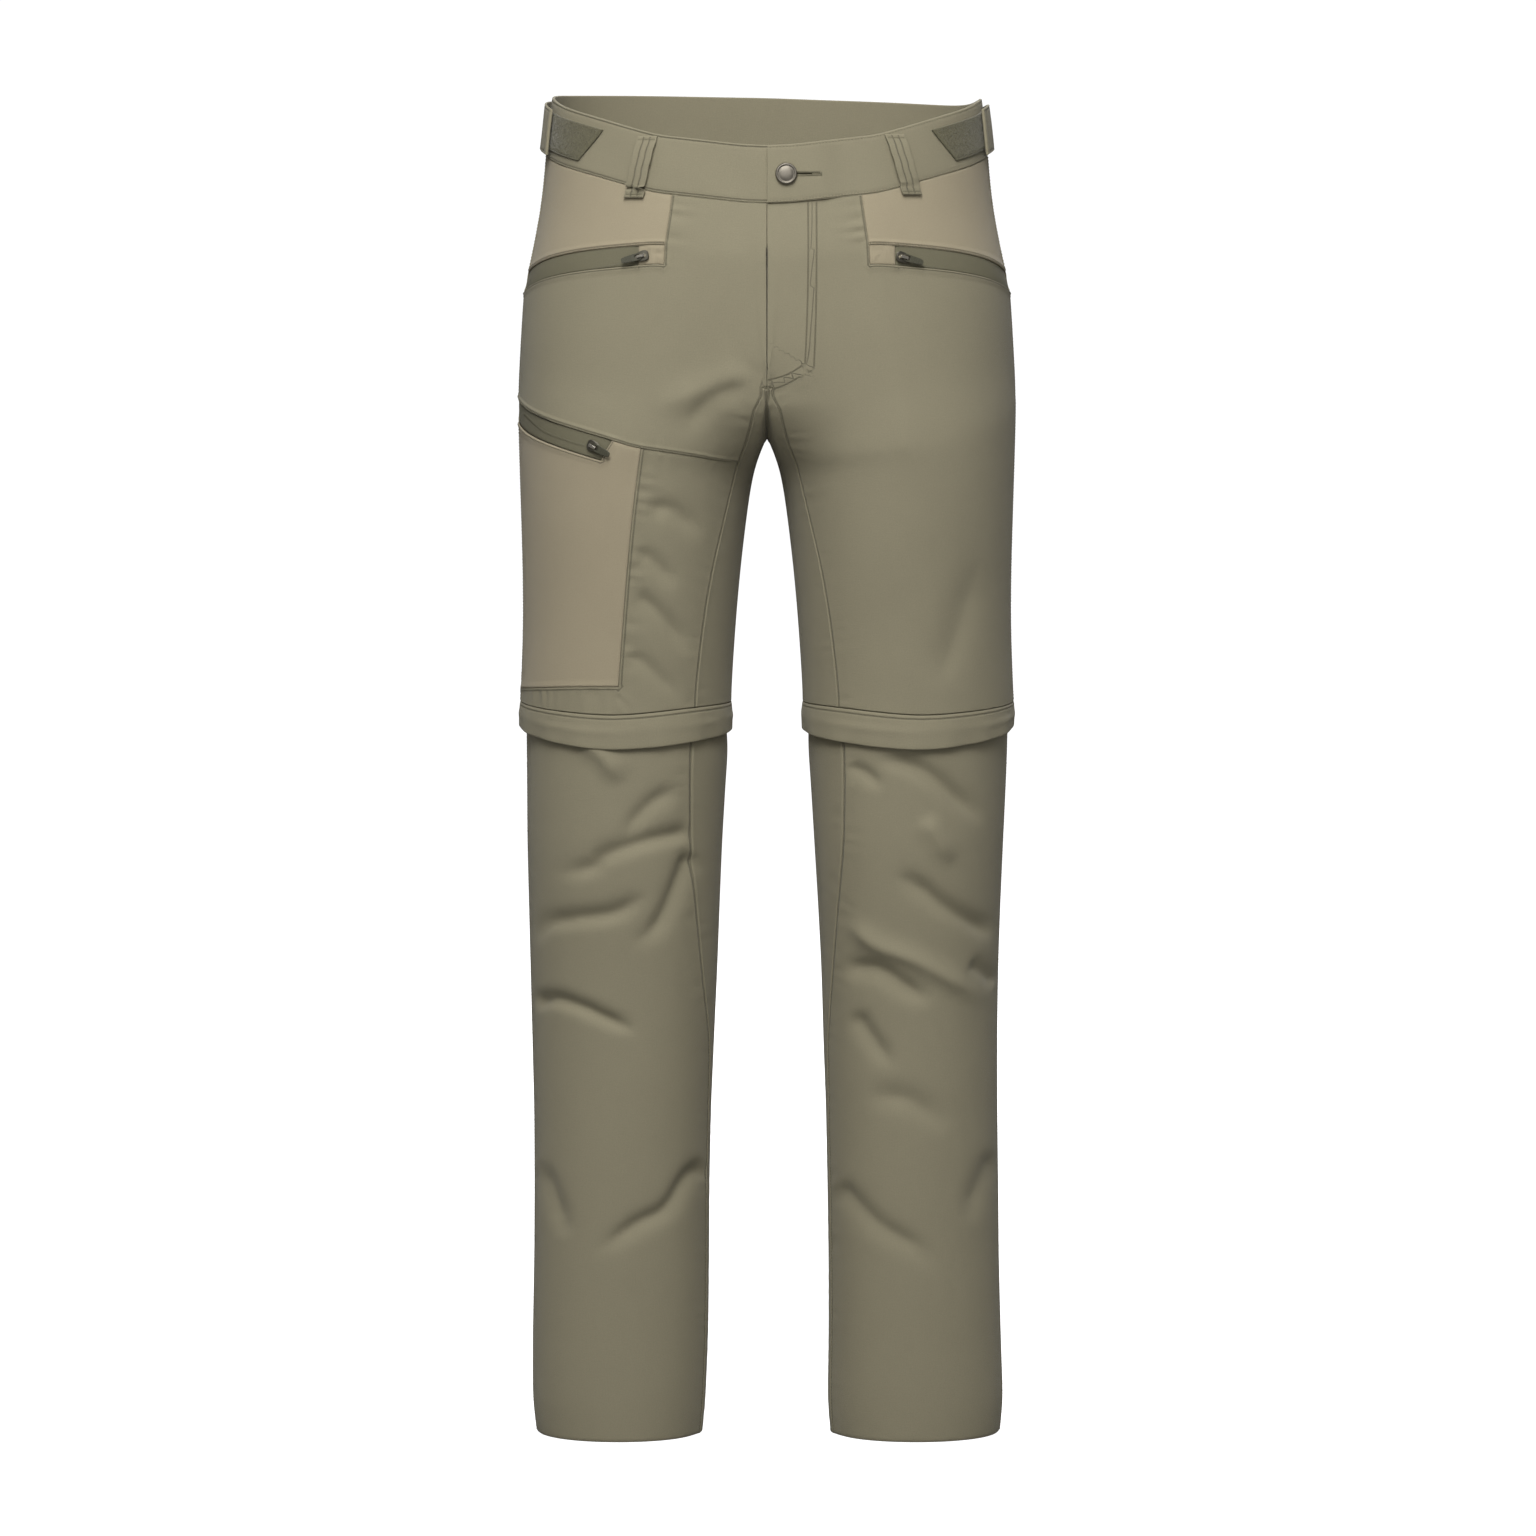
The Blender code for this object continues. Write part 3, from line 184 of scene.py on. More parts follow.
Heights = namedtuple("Heights", "name z_inner z_seam z_mid z_end z_side z_back z_rear bow")
HEIGHTS = [
    Heights("waist_seam", -50, -49, -43, -40, -10.8, -7, -6, 0.85),
    Heights("yoke_middle", -72, -71, -63, -62, -55, -45, -42, 1.2),
    Heights("hand_zip_top", -92, -90, -83.6, -84, -108.6, -95, -84, 1.6),
    Heights("hand_zip_foot", -108, -105, -96, -97, -118.6, -110, -100, 1.6),
    Heights("hip", -148, -147, -138, -137, -146, -142, -132, 1),
    Heights("fly_foot", -196, -196, -186, -182, -173, -176, -165, 1),
    Heights("crotch_front", -216, -218, -206, -201, -184, -195, -200.5, 1),
    Heights("crotch_under", -230.6, -239, -225, -219, -195, -212, -226.5, 1),
    Heights("thigh_seam", -236, -254.5, -242, -237, -205, -225, -236, 0.85),
    Heights("cargo_zip_foot", -262, -270, -256, -250, -218.4, -245, -262, 0.85),
    Heights("thigh_high", -300, -300, -297, -295, -288, -292, -300, 1),
    Heights("thigh_middle", -345, -345, -343, -342, -340, -341, -345, 1),
    Heights("thigh_low", -392, -390, -388, -388, -390, -390, -392, 1),
    Heights("pocket_foot", -430, -430, -430.7, -431, -437.8, -434, -430, 1),
    Heights("cuff_seam", -445.5, -447, -452, -451, -445, -443, -445.5, 1),
]
Widths = namedtuple("Widths", "name x_inner x_seam x_mid x_end x_side front back split_inner split_outer")
WIDTHS = [
    Widths("waist_seam", 0, 22, 75, 95, 175.2, -108, 104, 0, 0),
    Widths("yoke_middle", 0, 21, 78, 97, 179.6, -112, 110, 0, 0),
    Widths("hand_zip_top", 0, 19, 81.4, 99, 190.5, -115, 117, 0, 0),
    Widths("hand_zip_foot", 0, 17, 82.2, 98, 193, -116, 121, 0, 0.05),
    Widths("hip", 0, 12, 86, 105, 195, -117, 128, 0, 0.25),
    Widths("fly_foot", 0, 6, 92, 112, 196.6, -115, 134, 0, 0.5),
    Widths("crotch_front", 0, 9, 95, 114, 197.2, -114, 134, 0.134, 0.65),
    Widths("crotch_under", 0, 15, 98.5, 116, 197.6, -112.5, 132, 0.5, 0.85),
    Widths("thigh_seam", 0, 22.5, 101.5, 118, 198, -111, 129, 1, 1),
    Widths("cargo_zip_foot", 10.5, 26, 102.5, 128, 198, -109.5, 124, 1, 1),
    Widths("thigh_high", 16.5, 33.4, 106.5, 140, 196, -106, 112, 1, 1),
    Widths("thigh_middle", 21.7, 44, 110.5, 143, 194.6, -100, 100, 1, 1),
    Widths("thigh_low", 25.6, 51, 114, 145, 194.5, -94.5, 93, 1, 1),
    Widths("pocket_foot", 28, 55.5, 117.4, 146, 196.4, -91, 89, 1, 1),
    Widths("cuff_seam", 28.5, 56.3, 118, 146.5, 196.8, -90, 88, 1, 1),
]
ROWS = [row.name for row in HEIGHTS]
YOKE, HAND_TOP = ROWS.index("yoke_middle"), ROWS.index("hand_zip_top")
FLY_FOOT, THIGH_SEAM = ROWS.index("fly_foot"), ROWS.index("thigh_seam")
POCKET_FOOT = ROWS.index("pocket_foot")

Shin = namedtuple("Shin", "z x_inner x_seam x_side front back")
LOWER = {
    "right": [
        Shin(-458, 33.5, 59.5, 191.8, -84.5, 82.5),
        Shin(-480, 31.4, 60, 191.6, -85.5, 82.5),
        Shin(-510, 33.1, 60.5, 191.4, -84.5, 81),
        Shin(-560, 36, 60, 191.2, -82, 80),
        Shin(-610, 38, 55.5, 190.2, -76, 82),
        Shin(-660, 39.8, 51, 189.2, -70.5, 85),
        Shin(-715, 42.4, 45.5, 188, -67, 86),
        Shin(-775, 45, 47, 186.6, -65, 82.5),
        Shin(-835, 46.3, 48.3, 186.4, -63, 77.5),
        Shin(-895, 46.6, 48.6, 186.8, -61.5, 74),
        Shin(-955, 47.3, 49.3, 188, -61, 71),
        Shin(-1008, 49.5, 51.5, 188, -61.5, 69.5),
        Shin(-1034.5, 52, 54, 185, -61, 68.5),
    ],
    "left": [
        Shin(-458, 33.5, 59.5, 192, -84.5, 82.5),
        Shin(-480, 33, 60.5, 191.6, -85.5, 82.5),
        Shin(-510, 35, 61, 190.6, -84.5, 81),
        Shin(-560, 38, 60, 188.4, -82, 80),
        Shin(-610, 41, 55.5, 186.4, -76, 82),
        Shin(-660, 43.6, 52, 185, -70.5, 85),
        Shin(-715, 45.2, 48.5, 184.4, -67, 86),
        Shin(-775, 47.4, 49.4, 184.6, -65, 82.5),
        Shin(-835, 48.6, 50.6, 185.4, -63, 77.5),
        Shin(-895, 49.5, 51.5, 186, -61.5, 74),
        Shin(-955, 49.6, 51.6, 187.6, -61, 71),
        Shin(-1008, 48.9, 50.9, 189.4, -61.5, 69.5),
        Shin(-1034.5, 51, 53, 187, -61, 68.5),
    ],
}
SHIN_TOP, SHIN_FOOT, SHIN_STEP = -458, -1034.5, 24
SHIN_SEAM, SHIN_SIDE, SHIN_LAST = 2, 9, 20
SHIN_DROP = 5

# Creases, as curves through picture points. Those at the back are placed as if seen through the front.
# height is in mm, above 0 for a ridge. left and right are how far it spreads to each side of the path, and
# start and end the shares of its length over which it fades.
Crease = namedtuple("Crease", "view height left right start end path")
CREASE_DEPTH = 1.45
CREASES = [
    Crease("front", -2.4, 12, 10, 0.3, 0.4, ((755, 383), (712, 398), (679, 439))),
    Crease("front", 2.2, 14, 14, 0.2, 0.4, ((754, 370), (700, 392), (642, 412))),
    Crease("front", -2.4, 9, 11, 0.2, 0.4, ((645, 510), (673, 510), (704, 539))),
    Crease("front", -2.0, 8, 9, 0.2, 0.4, ((635, 554), (653, 561), (680, 590))),
    Crease("front", -2.6, 8, 10, 0.2, 0.4, ((630, 597), (648, 602), (673, 628), (694, 658))),
    Crease("front", -1.8, 8, 9, 0.2, 0.4, ((625, 653), (648, 666), (684, 702))),
    Crease("front", -2.2, 14, 18, 0.4, 0.3, ((982, 549), (962, 620), (936, 694))),
    Crease("front", -4.0, 9, 7, 0.3, 0.1, ((551, 876), (590, 868), (607, 855), (650, 841), (694, 832))),
    Crease("front", -3.0, 9, 7, 0.3, 0.4, ((682, 785), (648, 806), (616, 845))),
    Crease("front", -4.2, 9, 7, 0.3, 0.3, ((534, 947), (548, 925), (573, 919), (616, 913), (650, 891))),
    Crease("front", -4.0, 9, 7, 0.1, 0.4, ((691, 850), (667, 908), (650, 933), (626, 947))),
    Crease("front", -4.6, 7, 6, 0.1, 0.3, ((532, 1004), (553, 999), (580, 1007), (609, 1020), (640, 1033))),
    Crease("front", 3.4, 14, 9, 0.1, 0.4, ((585, 741), (606, 760), (621, 786))),
    Crease("front", -4.0, 9, 7, 0.1, 0.3, ((709, 1163), (689, 1175), (666, 1208), (633, 1226), (594, 1256))),
    Crease("front", -3.0, 9, 9, 0.3, 0.4, ((539, 1157), (561, 1218), (568, 1241))),
    Crease("front", -4.2, 9, 8, 0.3, 0.3, ((869, 764), (900, 761), (930, 775), (964, 804), (985, 826))),
    Crease("front", -2.6, 7, 7, 0.1, 0.4, ((848, 767), (866, 774), (884, 791))),
    Crease("front", 3.0, 10, 10, 0.3, 0.4, ((922, 815), (937, 838), (954, 867))),
    Crease("front", -4.4, 9, 9, 0.3, 0.2, ((891, 873), (915, 884), (944, 906), (978, 925), (997, 935))),
    Crease("front", 3.6, 10, 8, 0.2, 0.3, ((845, 918), (876, 945), (917, 962), (966, 991), (985, 1010))),
    Crease("front", -4.4, 8, 10, 0.2, 0.3, ((840, 968), (876, 969), (905, 986), (934, 1005))),
    Crease("front", -3.0, 8, 8, 0.3, 0.1, ((968, 962), (982, 970), (997, 981))),
    Crease("front", -3.2, 9, 9, 0.2, 0.4, ((852, 1010), (872, 1040), (896, 1073))),
    Crease("front", -2.6, 12, 12, 0.3, 0.4, ((862, 1098), (903, 1098), (933, 1116), (950, 1136))),
    Crease("front", -2.8, 9, 12, 0.1, 0.4, ((836, 1182), (877, 1223), (918, 1249), (933, 1277))),
    Crease("front", -2.6, 10, 10, 0.2, 0.4, ((997, 1149), (973, 1203), (977, 1226))),
    Crease("back", -3.6, 13, 13, 0.3, 0.3, ((555, 842), (617, 866), (692, 850))),
    Crease("back", -3.2, 12, 12, 0.3, 0.3, ((547, 918), (612, 908), (684, 930))),
    Crease("back", -2.6, 12, 12, 0.3, 0.3, ((567, 804), (630, 814), (687, 794))),
    Crease("back", -2.6, 14, 14, 0.3, 0.3, ((555, 1158), (617, 1196), (679, 1206))),
    Crease("back", -3.6, 13, 13, 0.3, 0.3, ((842, 846), (914, 862), (984, 838))),
    Crease("back", -3.2, 12, 12, 0.3, 0.3, ((849, 922), (927, 904), (987, 930))),
    Crease("back", -2.6, 12, 12, 0.3, 0.3, ((842, 800), (907, 816), (967, 798))),
    Crease("back", -2.6, 14, 14, 0.3, 0.3, ((854, 1192), (917, 1184), (982, 1150))),
    Crease("back", -1.8, 15, 15, 0.3, 0.3, ((737, 426), (675, 470), (585, 488))),
    Crease("back", -1.8, 15, 15, 0.3, 0.3, ((797, 426), (859, 472), (952, 482))),
]

# Numbers and small tools


def smoothstep(t):
    t = np.clip(t, 0, 1)
    return t * t * (3 - 2 * t)


def unit(vectors):
    return vectors / np.maximum(np.linalg.norm(vectors, axis=-1, keepdims=True), 1e-12)


def picture_place(points):
    """Where points show in the picture."""
    camera, up, ahead = picture_axes()
    away = points - camera
    scale = VIEW_FROM / METRES_PER_PIXEL / (away @ ahead)
    return np.stack([MIDDLE_Y + away[:, 0] * scale, MIDDLE_Y - (away @ up) * scale], axis=1)


def picture_axes():
    """The camera's place, its up and the way it looks."""
    rise, level = math.sin(VIEW_RISE), math.cos(VIEW_RISE)
    camera = np.array((VIEW_X, -VIEW_FROM * level, VIEW_Z + VIEW_FROM * rise))
    return camera, np.array((0, rise, level)), np.array((0, level, -rise))


def flat_place(points):
    """Pixels of points for what lies at the back, with no perspective."""
    x = MIDDLE_X + points[:, 0] / METRES_PER_PIXEL
    return np.stack([x, MIDDLE_Y - (points[:, 2] - VIEW_Z) / METRES_PER_PIXEL], axis=1)


def curve_through(path, step=3.0):
    """A smooth curve through the path's points, as points about step apart."""
    path = np.array(path, float)
    ends = np.vstack([2 * path[0] - path[1], path, 2 * path[-1] - path[-2]])
    found = []
    for i in range(1, len(ends) - 2):
        p0, p1, p2, p3 = ends[i - 1 : i + 3]
        count = max(2, int(np.linalg.norm(p2 - p1) / step))
        t = np.linspace(0, 1, count, endpoint=False)[:, None]
        found.append(
            0.5 * (2 * p1 + (p2 - p0) * t + (2 * p0 - 5 * p1 + 4 * p2 - p3) * t**2
                   + (3 * p1 - p0 - 3 * p2 + p3) * t**3)
        )
    return np.vstack([*found, path[-1:]])


# The smooth form


def oval(x, centre, half_width, half_depth, power):
    """Depth of an oval from its own middle line, at x across it."""
    across = np.clip(np.abs((x - centre) / half_width), 0, 1)
    return half_depth * (1 - across**power) ** (1 / power)


def spaced(xs, ys, marks, counts):
    """Points on the curve (xs, ys) at the x values in marks, with equal steps along it between them."""
    length = np.concatenate([[0], np.cumsum(np.hypot(np.diff(xs), np.diff(ys)))])
    order = np.argsort(xs)
    at = [float(np.interp(m, xs[order], length[order])) for m in marks]
    steps = []
    for start, end, count in zip(at, at[1:], counts):
        steps += [start + (end - start) * i / count for i in range(count)]
    steps.append(at[-1])
    return np.interp(steps, length, xs), np.interp(steps, length, ys)


def crossing(x_inner, x_side):
    """Places across a row, closest together at its ends."""
    return x_inner + (x_side - x_inner) * (1 - np.cos(np.linspace(0, math.pi, 240))) / 2


def ring_of(high, level):
    """The points of one row of the body's cage: the front from the inner edge to the side, then the back."""
    middle, depth = (level.front + level.back) / 2, (level.back - level.front) / 2
    xs = crossing(level.x_inner, level.x_side)
    leg_middle, leg_half = (level.x_inner + level.x_side) / 2, (level.x_side - level.x_inner) / 2
    split = level.split_inner + (level.split_outer - level.split_inner) * smoothstep(xs / level.x_mid)
    hip = oval(xs, 0, level.x_side, depth, HIP_POWER)
    leg = oval(xs, leg_middle, leg_half, depth, LEG_POWER)
    reach = hip * (1 - split) + leg * split
    marks = (level.x_inner, level.x_seam, level.x_mid, level.x_end, level.x_side)
    front_x, front_y = spaced(xs, middle - reach, marks, (2, 2, 1, 3))
    back_x, back_y = spaced(xs[::-1], (middle + reach)[::-1], (level.x_side, level.x_inner), (BACK,))
    inner_z = (high.z_inner, high.z_seam, high.z_mid, high.z_end)
    front_z = np.interp(range(ZIP_END + 1), (0, SEAM, MID, ZIP_END), inner_z)
    to_side = np.linspace(0, 1, SIDE - ZIP_END + 1)[1:] ** high.bow
    side_z = high.z_end + (high.z_side - high.z_end) * to_side
    back_z = np.interp(range(BACK + 1), (0, BACK * 0.57, BACK), (high.z_side, high.z_back, high.z_rear))
    x, y = np.concatenate([front_x, back_x[1:]]), np.concatenate([front_y, back_y[1:]])
    return np.stack([x, y, np.concatenate([front_z, side_z, back_z[1:]])], axis=1) * MM


def waist_tilt(p):
    """At the back the waist sits lower on the wearer's left side."""
    return (BACK_DROP + BACK_TILT * p[0] / WAIST_HALF) * float(smoothstep((p[1] + 0.01) / 0.06))


def along_ring(ring, start):
    """Distances round a ring from one of its columns, for the weave."""
    steps = np.concatenate([[0], np.cumsum(np.linalg.norm(np.diff(ring, axis=0), axis=1))])
    return steps - steps[start]


def body_cage():
    """Points and cells of the body, the weave's coordinates at their corners, and each cell's place."""
    points, cells, weave, places, ids = [], [], [], [], {}
    rings = [ring_of(high, wide) for high, wide in zip(HEIGHTS, WIDTHS)]
    across = [along_ring(ring, SIDE) for ring in rings]

    def vertex(side, row, column):
        if row >= THIGH_SEAM and column == LAST:
            column = 0
        on_middle = column in (0, LAST) and row <= THIGH_SEAM
        key = ("middle" if on_middle else side, row, column)
        if key not in ids:
            ids[key] = len(points)
            p = rings[row][column] * (0 if on_middle else side, 1, 1)
            points.append(p - (0, 0, waist_tilt(p)) if row <= YOKE else p)
        return ids[key]

    for side in (1, -1):
        for row in range(len(ROWS) - 1):
            for column in range(LAST):
                around = [(row, column), (row + 1, column), (row + 1, column + 1), (row, column + 1)]
                around = around if side > 0 else around[::-1]
                cells.append([vertex(side, *corner) for corner in around])
                weave.append([(side * across[i][j], rings[i][j][2]) for i, j in around])
                places.append((side, row, column))
    return np.array(points), cells, weave, places


def shin_ring(level, drop):
    """One row of a lower leg's cage. drop lowers the row's front."""
    middle, depth = (level.front + level.back) / 2, (level.back - level.front) / 2
    xs = crossing(level.x_inner, level.x_side)
    centre, half = (level.x_inner + level.x_side) / 2, (level.x_side - level.x_inner) / 2
    reach = oval(xs, centre, half, depth, LEG_POWER)
    marks = (level.x_inner, level.x_seam, level.x_side)
    front_x, front_y = spaced(xs, middle - reach, marks, (SHIN_SEAM, SHIN_SIDE - SHIN_SEAM))
    back_x, back_y = spaced(
        xs[::-1], (middle + reach)[::-1], (level.x_side, level.x_inner), (SHIN_LAST - SHIN_SIDE,)
    )
    x, y = np.concatenate([front_x, back_x[1:]]), np.concatenate([front_y, back_y[1:]])
    return np.stack([x, y, level.z - drop * np.clip((middle - y) / depth, 0, 1)], axis=1) * MM


def shin_rows(levels):
    """The tabled rows of a lower leg, read off at even steps."""
    table = np.array(levels)[::-1]
    count = round((SHIN_TOP - SHIN_FOOT) / SHIN_STEP)
    heights = np.linspace(SHIN_TOP, SHIN_FOOT, count + 1)
    return [Shin(z, *(float(np.interp(z, table[:, 0], column)) for column in table.T[1:])) for z in heights]


def shin_cage(tag, side):
    rows = shin_rows(LOWER[tag])
    rings = [shin_ring(level, SHIN_DROP if level is rows[0] else 0) for level in rows]
    across = [along_ring(ring, SHIN_SIDE) for ring in rings]
    points = np.vstack([ring[:SHIN_LAST] for ring in rings]) * (side, 1, 1)
    cells, weave, places = [], [], []
    for row in range(len(rows) - 1):
        for column in range(SHIN_LAST):
            around = [(row, column), (row + 1, column), (row + 1, column + 1), (row, column + 1)]
            around = around if side > 0 else around[::-1]
            cells.append([i * SHIN_LAST + j % SHIN_LAST for i, j in around])
            weave.append([(side * across[i][j], rings[i][j][2]) for i, j in around])
            places.append((side, row, column))
    return points, cells, weave, places


def subdivided(points, cells, weave, levels):
    """The cage's smooth surface: points, quads, the weave at the quads' corners, and each quad's cell."""
    mesh = bpy.data.meshes.new("cage")
    mesh.from_pydata([tuple(p) for p in points], [], cells)
    mesh.uv_layers.new(name=WEAVE).data.foreach_set("uv", np.array(weave, np.float32).ravel())
    helper = bpy.data.objects.new("cage", mesh)
    bpy.context.scene.collection.objects.link(helper)
    modifier = helper.modifiers.new("Subdivision", "SUBSURF")
    modifier.levels = modifier.render_levels = levels
    bpy.context.view_layer.update()
    smooth = helper.evaluated_get(bpy.context.evaluated_depsgraph_get()).to_mesh()
    found = np.zeros(len(smooth.vertices) * 3, np.float32)
    smooth.vertices.foreach_get("co", found)
    quads = np.zeros(len(smooth.loops), np.int32)
    smooth.loops.foreach_get("vertex_index", quads)
    uv = np.zeros(len(smooth.loops) * 2, np.float32)
    smooth.uv_layers[0].data.foreach_get("uv", uv)
    bpy.data.objects.remove(helper)
    quads = quads.reshape(-1, 4)
    cell_of = np.arange(len(quads)) // (len(quads) // len(cells))
    return found.reshape(-1, 3).astype(float), quads, uv.reshape(-1, 4, 2), cell_of


def smooth_form(points, cells, weave, levels):
    """The smooth surface that passes through the tabled points."""
    on_surface = subdivided(points, cells, weave, 1)[0]
    return subdivided(2 * points - on_surface[: len(points)], cells, weave, levels)


def drawn_together(points):
    """The tops of the inner-leg seams run together under the fly."""
    front = 1 - smoothstep((points[:, 1] + 0.07) / 0.03)
    level = smoothstep((points[:, 2] + 0.214) / 0.016) * (1 - smoothstep((points[:, 2] + 0.19) / 0.03))
    near = 1 - smoothstep(np.abs(points[:, 0]) / SEAM_DRAW_REACH)
    drawn = points.copy()
    drawn[:, 0] *= 1 - SEAM_DRAW * front * level * near
    return drawn


def vertex_normals(points, quads):
    p = points[quads]
    face_normals = np.cross(p[:, 2] - p[:, 0], p[:, 3] - p[:, 1])
    normals = np.zeros_like(points)
    for axis in range(3):
        for corner in range(4):
            normals[:, axis] += np.bincount(quads[:, corner], face_normals[:, axis], len(points))
    return unit(normals)


# Creases


def crease_height(places, facing, crease):
    """How far one crease moves each point along its normal."""
    line = curve_through(crease.path)
    reach = 2.6 * max(crease.left, crease.right)
    low, high = line.min(axis=0) - reach, line.max(axis=0) + reach
    near = np.flatnonzero(((places > low) & (places < high)).all(axis=1) & (facing > 0))
    height = np.zeros(len(places))
    if not len(near):
        return height
    apart = places[near, None, :] - line[None, :, :]
    nearest = np.einsum("ijk,ijk->ij", apart, apart).argmin(axis=1)
    ahead = unit(np.gradient(line, axis=0))
    away = apart[np.arange(len(near)), nearest]
    tangent = ahead[nearest]
    beside = tangent[:, 0] * away[:, 1] - tangent[:, 1] * away[:, 0]
    share = (nearest + (tangent * away).sum(axis=1) / 3.0) / (len(line) - 1)
    fade = smoothstep(share / crease.start) * smoothstep((1 - share) / crease.end)
    spread = np.where(beside > 0, crease.right, crease.left)
    height[near] = CREASE_DEPTH * crease.height * MM * np.exp(-((np.abs(beside) / spread) ** 1.7)) * fade
    return height * facing


def creased(points, quads):
    """The form with its creases, and the normals of the creased form."""
    normals = vertex_normals(points, quads)
    sides = {
        "front": (picture_place(points), smoothstep(-normals[:, 1] * 2.2)),
        "back": (flat_place(points), smoothstep(normals[:, 1] * 2.2)),
    }
    total = sum(crease_height(*sides[crease.view], crease) for crease in CREASES)
    moved = points + normals * total[:, None]
    return moved, vertex_normals(moved, quads)


# Shells


def open_edges(quads, count):
    """The directed edges that one quad alone has."""
    ahead = np.stack([quads, np.roll(quads, -1, axis=1)], axis=2).reshape(-1, 2).astype(np.int64)
    lone = ~np.isin(ahead[:, 0] * count + ahead[:, 1], ahead[:, 1] * count + ahead[:, 0])
    return ahead[lone]


def inward_at(points, normals, edges):
    """At each point of a panel's edge, the way into the panel."""
    way = unit(np.cross(normals[edges[:, 0]], points[edges[:, 1]] - points[edges[:, 0]]))
    total = np.zeros_like(points)
    for column in (0, 1):
        np.add.at(total, edges[:, column], way)
    length = np.linalg.norm(total, axis=1, keepdims=True)
    return total / np.maximum(length**2 / 2, 0.7) * (length > 0)


def shell(name, points, normals, quads, uv, finish, lift=0.0, thick=SHELL, rows=None, round_by=EDGE_ROUND):
    """One panel as a thin closed shell with rounded edges. lift and rows hold a value for each point."""
    used, own = np.unique(quads, return_inverse=True)
    own = own.reshape(-1, 4)
    p, n = points[used], normals[used]
    edges = open_edges(own, len(used))
    inward = inward_at(p, n, edges)
    lift = np.broadcast_to(lift, len(points))[used][:, None]
    thick = np.broadcast_to(thick, len(points))[used][:, None]
    outer = p + inward * (SEAM_GAP / 2 + round_by) + n * lift
    rim = p + inward * SEAM_GAP / 2 + n * (lift - round_by)
    inner = p + n * (lift - thick)
    count = len(used)
    on_rim = np.unique(edges)
    rim_number = np.full(count, -1)
    rim_number[on_rim] = 2 * count + np.arange(len(on_rim))
    a, b = edges[:, 0], edges[:, 1]
    strips = [
        np.stack([b, a, rim_number[a], rim_number[b]], axis=1),
        np.stack([rim_number[b], rim_number[a], a + count, b + count], axis=1),
    ]
    at_point = np.zeros((count, 2))
    at_point[own.ravel()] = uv.reshape(-1, 2)
    strip_uv = at_point[np.stack([b, a, a, b], axis=1)]
    faces = np.vstack([own, own[:, ::-1] + count, *strips])
    corners = np.vstack([uv, uv[:, ::-1], strip_uv, strip_uv])
    made = quad_object(name, np.vstack([outer, inner, rim[on_rim]]), faces, corners, finish)
    made["outer_faces"] = len(own)
    for channel, values in (rows or {}).items():
        beside = values[used]
        hidden = np.full((count + len(on_rim), 2), (FAR, 0.0))
        data = np.zeros((count * 2 + len(on_rim), 3), np.float32)
        data[:, :2] = np.vstack([beside, hidden])
        made.data.attributes.new(channel, "FLOAT_VECTOR", "POINT").data.foreach_set("vector", data.ravel())
    return made


def quad_object(name, points, faces, corners, finish):
    mesh = bpy.data.meshes.new(name)
    mesh.vertices.add(len(points))
    mesh.vertices.foreach_set("co", points.astype(np.float32).ravel())
    mesh.loops.add(faces.size)
    mesh.loops.foreach_set("vertex_index", faces.astype(np.int32).ravel())
    mesh.polygons.add(len(faces))
    mesh.polygons.foreach_set("loop_start", np.arange(len(faces), dtype=np.int32) * faces.shape[1])
    if corners is not None:
        mesh.uv_layers.new(name=WEAVE).data.foreach_set("uv", corners.astype(np.float32).ravel())
    mesh.update(calc_edges=True)
    mesh.validate()
    mesh.shade_smooth()
    made = bpy.data.objects.new(name, mesh)
    bpy.context.scene.collection.objects.link(made)
    mesh.materials.append(finish)
    return made


# Seams


def chains(edges):
    """Directed edges as lines of points, each in order."""
    ahead = {int(a): int(b) for a, b in edges}
    starts = [a for a in ahead if a not in set(ahead.values())] or [next(iter(ahead))]
    found = []
    for start in starts:
        line, v = [start], ahead.pop(start)
        while v in ahead:
            line.append(v)
            v = ahead.pop(v)
        found.append(line + [v])
    return found


def seams_of(panels, count):
    """For each panel and each neighbour of it, the directed edges they share, as the panel has them."""
    owner = {}
    for name, quads in panels.items():
        for a, b in open_edges(quads, count):
            owner[(int(a), int(b))] = name
    shared = {}
    for (a, b), name in owner.items():
        other = owner.get((b, a), "")
        shared.setdefault((name, other), []).append((a, b))
    return shared


def line_frame(points, normals, line):
    """The places along a line, the way into the panel on its left, and the distance covered."""
    places, up = points[line], normals[line]
    ahead = unit(np.gradient(places, axis=0))
    step = np.linalg.norm(np.diff(places, axis=0), axis=1)
    return places, unit(np.cross(up, ahead)), np.concatenate([[0], np.cumsum(step)])


def beside_line(p, places, inward, covered):
    """For each point of p: how far it lies to the left of a line, how far along, and past its ends."""
    apart = p[:, None, :] - places[None, :, :]
    nearest = np.einsum("ijk,ijk->ij", apart, apart).argmin(axis=1)
    away = apart[np.arange(len(p)), nearest]
    ahead = unit(np.gradient(places, axis=0))[nearest]
    forward = (away * ahead).sum(axis=1)
    past = np.where(nearest == 0, -forward, np.where(nearest == len(places) - 1, forward, 0))
    left = (away * inward[nearest]).sum(axis=1)
    distance = np.linalg.norm(away - ahead * forward[:, None], axis=1)
    return np.sign(left) * distance, covered[nearest] + forward, np.maximum(past, 0)


